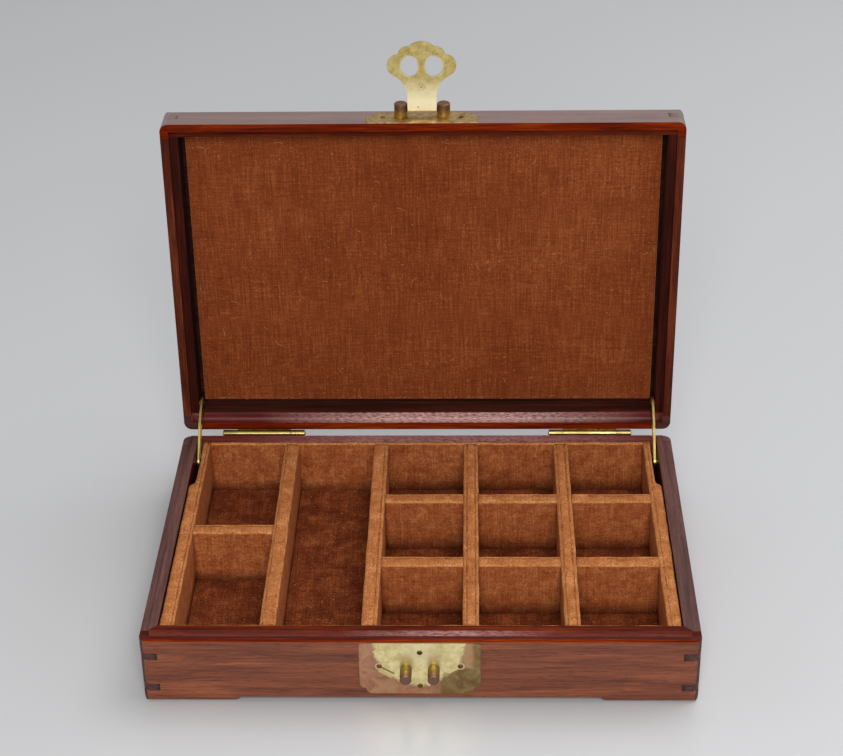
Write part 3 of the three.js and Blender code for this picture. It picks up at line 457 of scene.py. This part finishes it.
def worn_brass(name, bright, dull, stain, stain_share, rough, paint=None, filed=0.15, cloud=2.2):
    """Brass sheet or rod, filed and rubbed up, then handled for years: bright where it's rubbed,
    clouded by a thin film, and brown where stains have settled. Paint adds what one part has."""
    material, tree, shader, place = new_material(name, bright)
    film = pattern(tree, place, cloud, 4, 0.65)
    stains = pattern(tree, place, 6, 4, 0.65, 0.7)
    scratches = pattern(tree, stretched(tree, place, "x", 5, 0.3))
    body = colour_ramp(tree, film, (0.36, dull), (0.62, bright))
    reach = stain_share * 0.3
    stained = product(tree, ramp_up(tree, stains, 0.68 - reach, 0.8 - reach), 0.8)
    colour = over(tree, stained, body, linear(stain))
    if paint:
        colour = paint(tree, place, colour, stains)
    connect(tree, shader, {
        "Base Color": colour,
        "Roughness": ramp_up(tree, film, 0.3, 0.7, rough + 0.15, rough),
        "Normal": bump(tree, scratches, filed, 0.05 * MM),
        "Metallic": 1})
    return material


def middle_of(node):
    low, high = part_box(node)
    return (low + high) / 2


# Places on the hasp, as x and height above its pin in mm
HASP_OPENINGS = ((-5.9, 22.3), (5.9, 22.3))
OPENING_TALL = 1.18
STRUCK_RING = (-0.3, 11.8)
PUNCHED_DOTS = ((-6.3, 28.6), (7.3, 28.6), (-1.9, 1.6), STRUCK_RING)


def hasp_paint(tree, place, colour, clouds):
    """The neck gets a painted highlight, the openings have pale filed rims, and four punched dots
    and one struck ring mark the sheet."""
    pin = middle_of("hasp_pin")

    def away_from(spot, tall=1.0):
        return distance_mm(tree, place, spot[0] * MM, pin.z + spot[1] * MM, tall)

    # Painted highlight: the neck is lightened where it curves to the light
    neck = ramp_down(tree, split(tree, place)[2], pin.z + 5 * MM, pin.z + 17 * MM)
    colour = over(tree, product(tree, neck, 0.9), colour, linear("#fff2c6"))
    for opening in HASP_OPENINGS:
        rim = ramp_down(tree, away_from(opening, OPENING_TALL), 4.3, 5.1)
        colour = over(tree, product(tree, rim, 0.35), colour, linear("#ece2b4"))
    for spot in PUNCHED_DOTS:
        dot = ramp_down(tree, away_from(spot), 0.25, 0.55)
        colour = over(tree, product(tree, dot, 0.75), colour, linear("#6b4a22"))
    away = away_from(STRUCK_RING)
    ring = product(tree, ramp_down(tree, away, 1.7, 1.9), ramp_up(tree, away, 1.3, 1.5))
    return over(tree, product(tree, ring, 0.35), colour, linear("#9a7c40"))


# On the base's lock plate, in mm: how much narrower than round the bowl-shaped bright field is, how
# far above the plate its centre lies, and over which radii it ends; how far right of the middle the
# olive patina begins, below and above; and where the two ends of the scratch fade in and out
BOWL_NARROWING = 1.18
BOWL_RISE = 1.5
BOWL_EDGE = (24.5, 25.8)
OLIVE_BELOW = (8.5, 10)
OLIVE_ABOVE = (24, 25)
SCRATCH_ENDS = (0.8, 1.4, 7.5, 8.5)
SCRATCH_SLOPE = math.radians(-32)


def patina_paint(tree, place, colour, clouds):
    """Pink patina round the bright bowl, and olive where the plate is stained on the right."""
    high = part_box("base_lock_plate")[1]
    centre = middle_of("base_lock_plate")
    shaken = maths(tree, "MULTIPLY_ADD", clouds, 9.0, -4.5)
    bowl = add(tree, "ShaderNodeMapping", {
        "Vector": place,
        "Location": (-BOWL_NARROWING * centre.x / MM, 0, -high.z / MM - BOWL_RISE),
        "Scale": (BOWL_NARROWING / MM, 0, 1 / MM)})
    away = add(tree, "ShaderNodeVectorMath", {0: bowl[0]}, operation="LENGTH")["Value"]
    patina = ramp_up(tree, maths(tree, "ADD", away, shaken), *BOWL_EDGE)
    parts = split(tree, place)
    wander = maths(tree, "MULTIPLY_ADD", shaken, 0.8 * MM, parts[0])
    right, far_right = [
        ramp_up(tree, wander, centre.x + begins * MM, centre.x + ends * MM)
        for begins, ends in (OLIVE_BELOW, OLIVE_ABOVE)]
    lower = ramp_down(tree, parts[2], centre.z - 0.5 * MM, centre.z + 0.5 * MM)
    olive = maths(tree, "MAXIMUM", product(tree, right, lower), far_right)
    blush = colour_ramp(tree, clouds, (0.36, "#906b54"), (0.5, "#b67b63"), (0.64, "#b0906b"))
    moss = colour_ramp(tree, clouds, (0.36, "#6d5030"), (0.5, "#7c5f38"), (0.64, "#8f7a52"))
    return over(tree, product(tree, patina, 0.94), colour, over(tree, olive, blush, moss))


def scratch_paint(tree, place, colour):
    """One scratch that runs down to the right from the left nail, with a bared strip under it."""
    nail = middle_of("base_plate_nail_left")
    moved = add(tree, "ShaderNodeMapping", {"Vector": place, "Location": (-nail.x, 0, -nail.z)})
    turned = add(tree, "ShaderNodeMapping", {
        "Vector": moved[0], "Rotation": (0, SCRATCH_SLOPE, 0), "Scale": (1 / MM, 0, 1 / MM)})
    line = split(tree, turned[0])
    width = maths(tree, "ABSOLUTE", line[2])
    below = maths(tree, "ABSOLUTE", maths(tree, "ADD", line[2], 1.6))
    reach = product(tree, ramp_up(tree, line[0], *SCRATCH_ENDS[:2]),
                    ramp_down(tree, line[0], *SCRATCH_ENDS[2:]))
    bared = product(tree, reach, ramp_down(tree, below, 1.2, 1.6))
    colour = over(tree, product(tree, bared, 0.75), colour, linear("#dccb8c"))
    cut = product(tree, reach, ramp_down(tree, width, 0.25, 0.5))
    return over(tree, product(tree, cut, 0.85), colour, linear("#5e4526"))


def base_plate_paint(tree, place, colour, clouds):
    """The hasp has kept a bowl-shaped field bright. Round it the plate has gone pink on the left
    and olive on the right, pale rings show round the side nails, and one scratch runs down."""
    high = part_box("base_lock_plate")[1]
    centre = middle_of("base_lock_plate")
    glow = ramp_down(tree, distance_mm(tree, place, centre.x, high.z - 4 * MM), 1, 11)
    colour = over(tree, product(tree, glow, 0.6), colour, linear("#efe6bd"))
    colour = patina_paint(tree, place, colour, clouds)
    for side in ("left", "right"):
        nail = middle_of(f"base_plate_nail_{side}")
        halo = ramp_down(tree, distance_mm(tree, place, nail.x, nail.z), 1.7, 2.1)
        colour = over(tree, product(tree, halo, 0.7), colour, linear("#e4d6a2"))
    return scratch_paint(tree, place, colour)


def fading_paint(axis, root, tip, tip_colour):
    """A coat of patina that grows from the root of a post to its tip."""
    def paint(tree, place, colour, clouds):
        fresh = ramp_down(tree, split(tree, place)[AXES[axis]], root, tip)
        return over(tree, fresh, linear(tip_colour), colour)
    return paint


PLATE_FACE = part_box("base_lock_plate")[0].y
LID_PLATE_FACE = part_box("lid_lock_plate")[1].z
HASP_POST_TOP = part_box("left_hasp_post")[1].z

HASP_BRASS = worn_brass(
    "rubbed_sheet_brass", "#cbb97c", "#ae985a", "#957a46", 0.25, 0.34, hasp_paint)
HINGE_BRASS = worn_brass(
    "drawn_hinge_brass", "#ad9a63", "#7f6e40", "#80602a", 0.0, 0.26, filed=0.0, cloud=11)
STAY_BRASS = worn_brass(
    "filed_stay_brass", "#cdb46c", "#a88f50", "#6d5020", 0.1, 0.26, filed=0.03, cloud=8)
NAIL_BRASS = worn_brass("dark_nail_brass", "#7d6233", "#4f3a1c", "#36260f", 0.5, 0.4)
BASE_PLATE_BRASS = worn_brass(
    "stained_plate_brass", "#eadda8", "#d3c189", "#b5a070", 0.2, 0.38, base_plate_paint, cloud=4)
LID_PLATE_BRASS = worn_brass("dull_plate_brass", "#b99c66", "#93764a", "#75533a", 0.5, 0.4)
LOCK_POST_BRASS = worn_brass(
    "browned_lock_post_brass", "#a38c46", "#7f6a34", "#6b4f34", 0.3, 0.42,
    fading_paint("y", PLATE_FACE - 2 * MM, PLATE_FACE - 8 * MM, "#7a5a4d"))
HASP_POST_BRASS = worn_brass(
    "browned_hasp_post_brass", "#bfa04c", "#967634", "#7d5836", 0.3, 0.38,
    fading_paint("z", LID_PLATE_FACE + 1.5 * MM, HASP_POST_TOP - 2.5 * MM, "#78573f"))


# Mesh work

def copy_of(node):
    """A bmesh of a CAD node's shape, with its loose triangles joined and flat faces whole."""
    mesh = bmesh.new()
    mesh.from_mesh(NODES[node].data)
    bmesh.ops.remove_doubles(mesh, verts=mesh.verts, dist=0.005 * MM)
    bmesh.ops.dissolve_limit(
        mesh, angle_limit=math.radians(1), verts=mesh.verts, edges=mesh.edges, delimit=set())
    return mesh


def finished(mesh, name, materials, sharp_degrees, weighted):
    """A bmesh as a named object. With weighted normals its large faces keep their own light."""
    if not weighted:
        bmesh.ops.triangulate(mesh, faces=[f for f in mesh.faces if len(f.verts) > 4])
    for face in mesh.faces:
        face.smooth = True
    data = bpy.data.meshes.new(name)
    mesh.to_mesh(data)
    mesh.free()
    data.set_sharp_from_angle(angle=math.radians(sharp_degrees))
    for material in materials:
        data.materials.append(material)
    piece = bpy.data.objects.new(name, data)
    bpy.context.scene.collection.objects.link(piece)
    if weighted:
        modifier = piece.modifiers.new("flat_faces_first", "WEIGHTED_NORMAL")
        modifier.keep_sharp = True
    return piece


def piece_from(mesh, node, materials, sharp_degrees=35, weighted=True):
    """Finishes a bmesh as the piece that stands for a CAD node."""
    piece = finished(mesh, f"{node}_dressed", materials, sharp_degrees, weighted)
    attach(piece, BODY_OF[node])
    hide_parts(node)


def ease_arrises(mesh, width_mm, segments=2):
    """Rounds over the edges at which two faces meet at more than 40 degrees."""
    arrises = [edge for edge in mesh.edges
               if len(edge.link_faces) == 2 and edge.calc_face_angle() > math.radians(40)]
    bmesh.ops.bevel(
        mesh, geom=arrises, offset=width_mm * MM, offset_type="OFFSET", affect="EDGES",
        segments=segments, profile=0.5, material=-1, clamp_overlap=True)


def slice_at(mesh, index, place):
    """Cuts a mesh across at one place along an axis."""
    normal = Vector([1.0 if i == index else 0.0 for i in range(3)])
    bmesh.ops.bisect_plane(
        mesh, geom=mesh.verts[:] + mesh.edges[:] + mesh.faces[:], dist=1e-6,
        plane_co=normal * place, plane_no=normal)


def slice_along(mesh, index, low, high, step_mm):
    """Cuts a mesh across at even steps, so that it has points to move."""
    count = int((high - low) / (step_mm * MM))
    for i in range(1, count):
        slice_at(mesh, index, low + (high - low) * i / count)


# Wooden boards

TO_SHUT = Matrix.Rotation(LID_OPEN, 3, "X")
OUTWARD = {
    "front": Vector((0, -1, 0)), "back": Vector((0, 1, 0)),
    "left": Vector((-1, 0, 0)), "right": Vector((1, 0, 0)),
}
# The lid's rim: its outer band, then the step that goes down inside it, beyond which the painted
# shade darkens
OUTER_BAND = 5 * MM
STEP_DEPTH = 3.3 * MM
STEP_FADE = 5.1 * MM
# Where the back boards' ends take the tone of the corners, and how long the fingers are
CORNER_START = 119 * MM
FINGER_LENGTH = 8.5 * MM
# The top of the base's front board in bands, by how far they reach from its outer face. A face that
# looks outward and is set in further than a lip's inset is the riser of that lip.
# Their tones are painted light and shade, set by how the light falls on each band
FRONT_RIM = ((2.4 * MM, "lit_red_rim"), (4.4 * MM, "wine_inside"), (9 * MM, "inner_lip"))
LIP_INSET = 2 * MM
# The lower edge of the base's front board: where its feet end, how long their slope is, and how
# high it stands between them
FOOT_END = 83.3 * MM
FOOT_SLOPE = 1.1 * MM
RELIEF = 3.3 * MM


def inside_tone(part, side, depth):
    """The tone of a face that looks into the box, all painted shade. In the lid the walls beyond the
    step round the rim are nearly black, the right one a little lighter, and the step itself is wine
    red at the back, with painted glints, and red brown elsewhere."""
    if part == "base":
        return "back_rim" if side == "back" else "wine_inside"
    if side == "back" and depth > STEP_DEPTH:
        return "brown_inside" if depth > STEP_FADE else "wine_inside"
    if side == "back":
        return "wine_step"
    if depth > STEP_DEPTH:
        return "brown_inside" if side == "right" else "shadowed_inside"
    return "inner_lip" if side == "front" else "red_brown_step"


def face_tone(part, side, normal, centre, outer):
    """Which kind of face this is, judged on the shut box."""
    outward = normal.dot(OUTWARD[side])
    inset = outer - centre.dot(OUTWARD[side])
    rim = normal.z > 0.5 if part == "base" else normal.z < -0.5
    if outward < -0.5:
        return inside_tone(part, side, centre.z)
    if outward > 0.5 and inset > LIP_INSET:
        return "glinting_lip" if side == "front" else "side_rim"
    if outward > 0.5 or not rim:
        return "lid_edge" if (part, side) == ("lid", "front") else "outer_face"
    if part == "lid" and inset > OUTER_BAND:
        return inside_tone(part, side, 0)
    if part == "lid" and side in ("left", "right"):
        return "red_brown_rim"
    if part == "lid":
        return "dull_rim" if side == "back" and abs(centre.x) > CORNER_START else "lit_red_rim"
    if side == "front":
        for reach, tone in FRONT_RIM:
            if inset < reach:
                return tone
    return "back_rim" if side == "back" and abs(centre.x) < CORNER_START else "side_rim"


def raise_relief(mesh):
    """Takes the front board's lower edge up between its feet, clear of the rounded arris, so that
    the feet show from above."""
    for x in (-FOOT_END, FOOT_SLOPE - FOOT_END, FOOT_END - FOOT_SLOPE, FOOT_END):
        slice_at(mesh, AXES["x"], x)
    slice_at(mesh, AXES["z"], RELIEF)
    front = min(vert.co.y for vert in mesh.verts)
    for vert in mesh.verts:
        if abs(vert.co.x) < FOOT_END - MM and vert.co.z < RELIEF:
            vert.co.z = RELIEF
            if vert.co.y < front + MM:
                vert.co.y = front
    bmesh.ops.remove_doubles(mesh, verts=mesh.verts, dist=0.01 * MM)
    bmesh.ops.dissolve_degenerate(mesh, edges=mesh.edges, dist=0.005 * MM)


def dress_board(part, side, grain):
    """A board keeps its shape. Each of its faces gets its tone, and end grain shows where its
    ends are the fingers of the corner joints."""
    node = f"{part}_{side}_board"
    mesh = copy_of(node)
    turn = TO_SHUT if part == "lid" else Matrix.Identity(3)
    length = AXES[grain]
    shut_length = AXES["y"] if grain == "z" else length
    low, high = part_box(node)
    outer = max((turn @ (v.co - LID_AXIS)).dot(OUTWARD[side]) for v in mesh.verts)
    if (part, side) == ("base", "front"):
        for band, tone in FRONT_RIM[:2]:
            slice_at(mesh, AXES["y"], low.y + band)
        raise_relief(mesh)
    if side == "back":
        for corner in (-CORNER_START, CORNER_START):
            slice_at(mesh, AXES["x"], corner)
    if (part, side) == ("lid", "back"):
        slice_at(mesh, AXES["y"], LID_AXIS.y + STEP_FADE)
    tones = []
    for face in mesh.faces:
        place = face.calc_center_median()
        near_end = not low[length] + FINGER_LENGTH < place[length] < high[length] - FINGER_LENGTH
        normal = turn @ face.normal
        tone = face_tone(part, side, normal, turn @ (place - LID_AXIS), outer)
        if near_end and abs(normal[shut_length]) > 0.6:
            tone = "lid_front_end" if part == "lid" and normal.y < -0.6 else f"{part}_end"
        if tone not in tones:
            tones.append(tone)
        face.material_index = tones.index(tone)
    materials = [END_GRAIN[tone] if tone in END_GRAIN else rosewood(tone, grain) for tone in tones]
    piece_from(mesh, node, materials)


for side, grain in (("front", "x"), ("back", "x"), ("left", "y"), ("right", "y")):
    dress_board("base", side, grain)
for side, grain in (("front", "x"), ("back", "x"), ("left", "z"), ("right", "z")):
    dress_board("lid", side, grain)


def dress_panel(node, outward):
    """A panel is brown outside, and dark with painted shade where it looks into the box."""
    mesh = copy_of(node)
    for face in mesh.faces:
        if face.normal.dot(outward) < 0.5:
            face.material_index = 1
    piece_from(mesh, node, [rosewood("outer_face", "x"), rosewood("shadowed_inside", "x")])


dress_panel("base_bottom_panel", Vector((0, 0, -1)))
dress_panel("lid_top_panel", Vector((0, 1, 0)))


# Velvet-covered insert and lining

ROUNDED_TOP = 2.2 * MM
# Where folds run along the tops of the insert's walls, as shares of a wall's width
CREASES = {
    "long_divider_1": (0.2,), "long_divider_2": (0.78,), "long_divider_3": (0.24, 0.8),
    "long_divider_4": (0.2, 0.76), "insert_left_wall": (0.82,), "insert_right_wall": (0.3,),
}
SHORT_DIVIDER_CREASES = (0.7,)
CREASE_DEPTH = 0.3 * MM
# The noise that softens the cloth needs a seed other than 0, or it differs in every run
CLOTH_SEED = 1
noise.seed_set(CLOTH_SEED)


def soften(mesh, amount_mm, scale_mm):
    """Moves points a little by a smooth, fixed noise, as cloth over card is never quite flat."""
    for vert in mesh.verts:
        shift = noise.noise_vector(vert.co / (scale_mm * MM))
        vert.co += shift * amount_mm * MM


def press_crease(mesh, index, place, top):
    """Presses a narrow fold down into the top of a wall, where its cloth is tucked in."""
    for offset in (-0.5, 0, 0.5):
        slice_at(mesh, index, place + offset * MM)
    for vert in mesh.verts:
        if vert.co.z > top - 1.2 * MM and abs(vert.co[index] - place) < 0.1 * MM:
            vert.co.z -= CREASE_DEPTH


def dress_wall(node):
    """A wall or divider of the insert: velvet drawn over card, soft at its top edges, with the nap
    paler along the top for wear and painted light, paler still at the rounded edges for fraying and
    a painted sheen, and folds along it darkened with painted shade."""
    mesh = copy_of(node)
    low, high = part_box(node)
    size = high - low
    index = 0 if size.x > size.y else 1
    across = 1 - index
    shares = SHORT_DIVIDER_CREASES if "short_divider" in node else CREASES.get(node, ())
    creases = [low[across] + size[across] * share for share in shares]
    for crease in creases:
        press_crease(mesh, across, crease, high.z)
    slice_along(mesh, index, low[index], high[index], 2)
    slice_at(mesh, 2, high.z - ROUNDED_TOP)
    slice_along(mesh, 2, low.z, high.z, 6)
    soften(mesh, 0.3, 9)
    for face in mesh.faces:
        centre = face.calc_center_median()
        # Flat tops get the paler top velvet, rounded edges the pale edge velvet and folds the darker
        # crease velvet: wear with painted light and shade
        if centre.z > high.z - ROUNDED_TOP and face.normal.z > 0.15:
            face.material_index = 1 if face.normal.z > 0.8 else 3
            if any(abs(centre[across] - crease) < 0.3 * MM for crease in creases):
                face.material_index = 2
    axis = "xy"[index]
    materials = [WALL_VELVET[axis], LIT_RUBBED_VELVET, CREASE_SHADE_VELVET, FRAYED_SHEEN_VELVET]
    piece_from(mesh, node, materials, sharp_degrees=75, weighted=False)


for node, body in BODY_OF.items():
    if body == "insert" and node != "insert_floor":
        dress_wall(node)
piece_from(copy_of("insert_floor"), "insert_floor", [FLOOR_VELVET])


def dress_lining():
    """The lid lining: velvet over card, its edges turned round and paler, frayed and painted lighter
    where they turn to the light.
    """
    mesh = copy_of("lid_lining")
    ease_arrises(mesh, 0.5, 3)
    for face in mesh.faces:
        if -0.9 < face.normal.y < -0.1:
            face.material_index = 1
    piece_from(mesh, "lid_lining", [LINING_VELVET, LIT_RUBBED_VELVET], sharp_degrees=60)


dress_lining()

FIBRE_STEPS = 5
FIBRE_WIDTH = 0.18 * MM
FIBRE_THICKNESS = 0.05 * MM


def add_fibre(mesh, start, along, across, out, length_mm, curl):
    """One bent fibre lying on the cloth. It is 0.18 mm wide, twice the real width, or it
    wouldn't show."""
    point = start.copy()
    points = [mesh.verts.new(point)]
    for step in range(FIBRE_STEPS):
        turn = curl * (step / FIBRE_STEPS - 0.5)
        point = point + (
            along * math.cos(turn) + across * math.sin(turn)) * length_mm * MM / FIBRE_STEPS
        points.append(mesh.verts.new(point))
    edges = [mesh.edges.new(pair) for pair in zip(points, points[1:])]
    ribbon = bmesh.ops.extrude_edge_only(mesh, edges=edges)["geom"]
    moved = [item for item in ribbon if isinstance(item, bmesh.types.BMVert)]
    bmesh.ops.translate(mesh, verts=moved, vec=across * FIBRE_WIDTH)
    faces = [item for item in ribbon if isinstance(item, bmesh.types.BMFace)]
    bmesh.ops.recalc_face_normals(mesh, faces=faces)
    if faces[0].normal.dot(out) < 0:
        bmesh.ops.reverse_faces(mesh, faces=faces)


def scatter_lint(name, body, low, high, out, count, seed, longest=5, tilt=math.pi):
    """Fibres strewn over a flat of the velvet, more of them towards its left. Out is the way that
    the flat faces, and low and high have the same value along it."""
    chance = random.Random(seed)
    mesh = bmesh.new()
    one, other = [axis for axis in range(3) if not out[axis]]
    for _ in range(count):
        start = Vector(low)
        start[one] = low[one] + (high[one] - low[one]) * chance.random() ** 1.3
        start[other] = low[other] + (high[other] - low[other]) * chance.random()
        angle = chance.uniform(0, tilt)
        along, across = Vector((0, 0, 0)), Vector((0, 0, 0))
        along[one], along[other] = math.cos(angle), math.sin(angle)
        across[one], across[other] = -math.sin(angle), math.cos(angle)
        length = chance.uniform(0.4 * longest, longest)
        add_fibre(mesh, start, along, across, out, length, chance.uniform(-2, 2))
    bmesh.ops.solidify(mesh, geom=mesh.faces[:], thickness=FIBRE_THICKNESS)
    piece = finished(mesh, name, [LINT], 60, False)
    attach(piece, body)


LINING_LOW, LINING_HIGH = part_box("lid_lining")
CLEAR_OF_EDGE = 6 * MM
ABOVE_PILE = 0.1 * MM


def lining_face(height):
    """The y of the lining's face at a height: the lid leans back by one degree."""
    lean = (height - LINING_LOW.z) * math.tan(LID_OPEN - math.pi / 2)
    return LINING_LOW.y + lean - ABOVE_PILE


def lint_on_lining(name, low_z, high_z, count, seed, longest, tilt):
    """Fibres on the lining between two heights, leant back with it."""
    low = (LINING_LOW.x + CLEAR_OF_EDGE, 0, low_z)
    high = (LINING_HIGH.x - CLEAR_OF_EDGE, 0, high_z)
    scatter_lint(name, "lid", low, high, Vector((0, -1, 0)), count, seed, longest, tilt)
    for vert in bpy.data.objects[name].data.vertices:
        vert.co.y += lining_face(vert.co.z)


lint_on_lining(
    "lining_lint", LINING_LOW.z + CLEAR_OF_EDGE, LINING_HIGH.z - CLEAR_OF_EDGE, 46, 11, 5, math.pi)
# Cut threads stand up where the lining's lower and upper edges were trimmed
lint_on_lining(
    "lining_lower_edge_threads", LINING_LOW.z + 0.6 * MM, LINING_LOW.z + 1.2 * MM, 70, 3, 2.2, 0.5)
lint_on_lining(
    "lining_upper_edge_threads", LINING_HIGH.z - 2.2 * MM, LINING_HIGH.z - 1.8 * MM, 40, 4, 2, 0.5)
FLOOR_LOW, FLOOR_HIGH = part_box("insert_floor")
LINT_HEIGHT = FLOOR_HIGH.z + ABOVE_PILE
scatter_lint(
    "long_compartment_lint", "insert",
    (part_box("long_divider_1")[1].x + CLEAR_OF_EDGE, FLOOR_LOW.y + 2 * CLEAR_OF_EDGE, LINT_HEIGHT),
    (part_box("long_divider_2")[0].x - CLEAR_OF_EDGE, FLOOR_HIGH.y - 2 * CLEAR_OF_EDGE, LINT_HEIGHT),
    Vector((0, 0, 1)), 14, 5)


# Brass fittings

def dress_brass(node, material, width_mm=0.0, segments=2):
    """A fitting with its arrises eased by a width, or left as they are where that is 0."""
    mesh = copy_of(node)
    if width_mm:
        ease_arrises(mesh, width_mm, segments)
    piece_from(mesh, node, [material], sharp_degrees=50 if width_mm else 35)


dress_brass("hasp", HASP_BRASS, 0.25, 3)
for side in ("left", "right"):
    dress_brass(f"{side}_hinge_base_leaf", HINGE_BRASS, 0.15)
    dress_brass(f"{side}_hinge_lid_leaf", HINGE_BRASS, 0.15)
    dress_brass(f"{side}_stay_arm", STAY_BRASS, 0.2)
    dress_brass(f"{side}_hinge_pin", HINGE_BRASS)
    dress_brass(f"{side}_stay_pivot", NAIL_BRASS)
    dress_brass(f"{side}_stay_guide_screw", NAIL_BRASS)
    dress_brass(f"{side}_lock_post", LOCK_POST_BRASS, 0.12)
    dress_brass(f"{side}_hasp_post", HASP_POST_BRASS, 0.12)
dress_brass("base_lock_plate", BASE_PLATE_BRASS, 0.15)
dress_brass("lid_lock_plate", LID_PLATE_BRASS, 0.15)
dress_brass("hasp_pin", NAIL_BRASS)
for node in BODY_OF:
    if "plate_nail" in node:
        dress_brass(node, NAIL_BRASS)
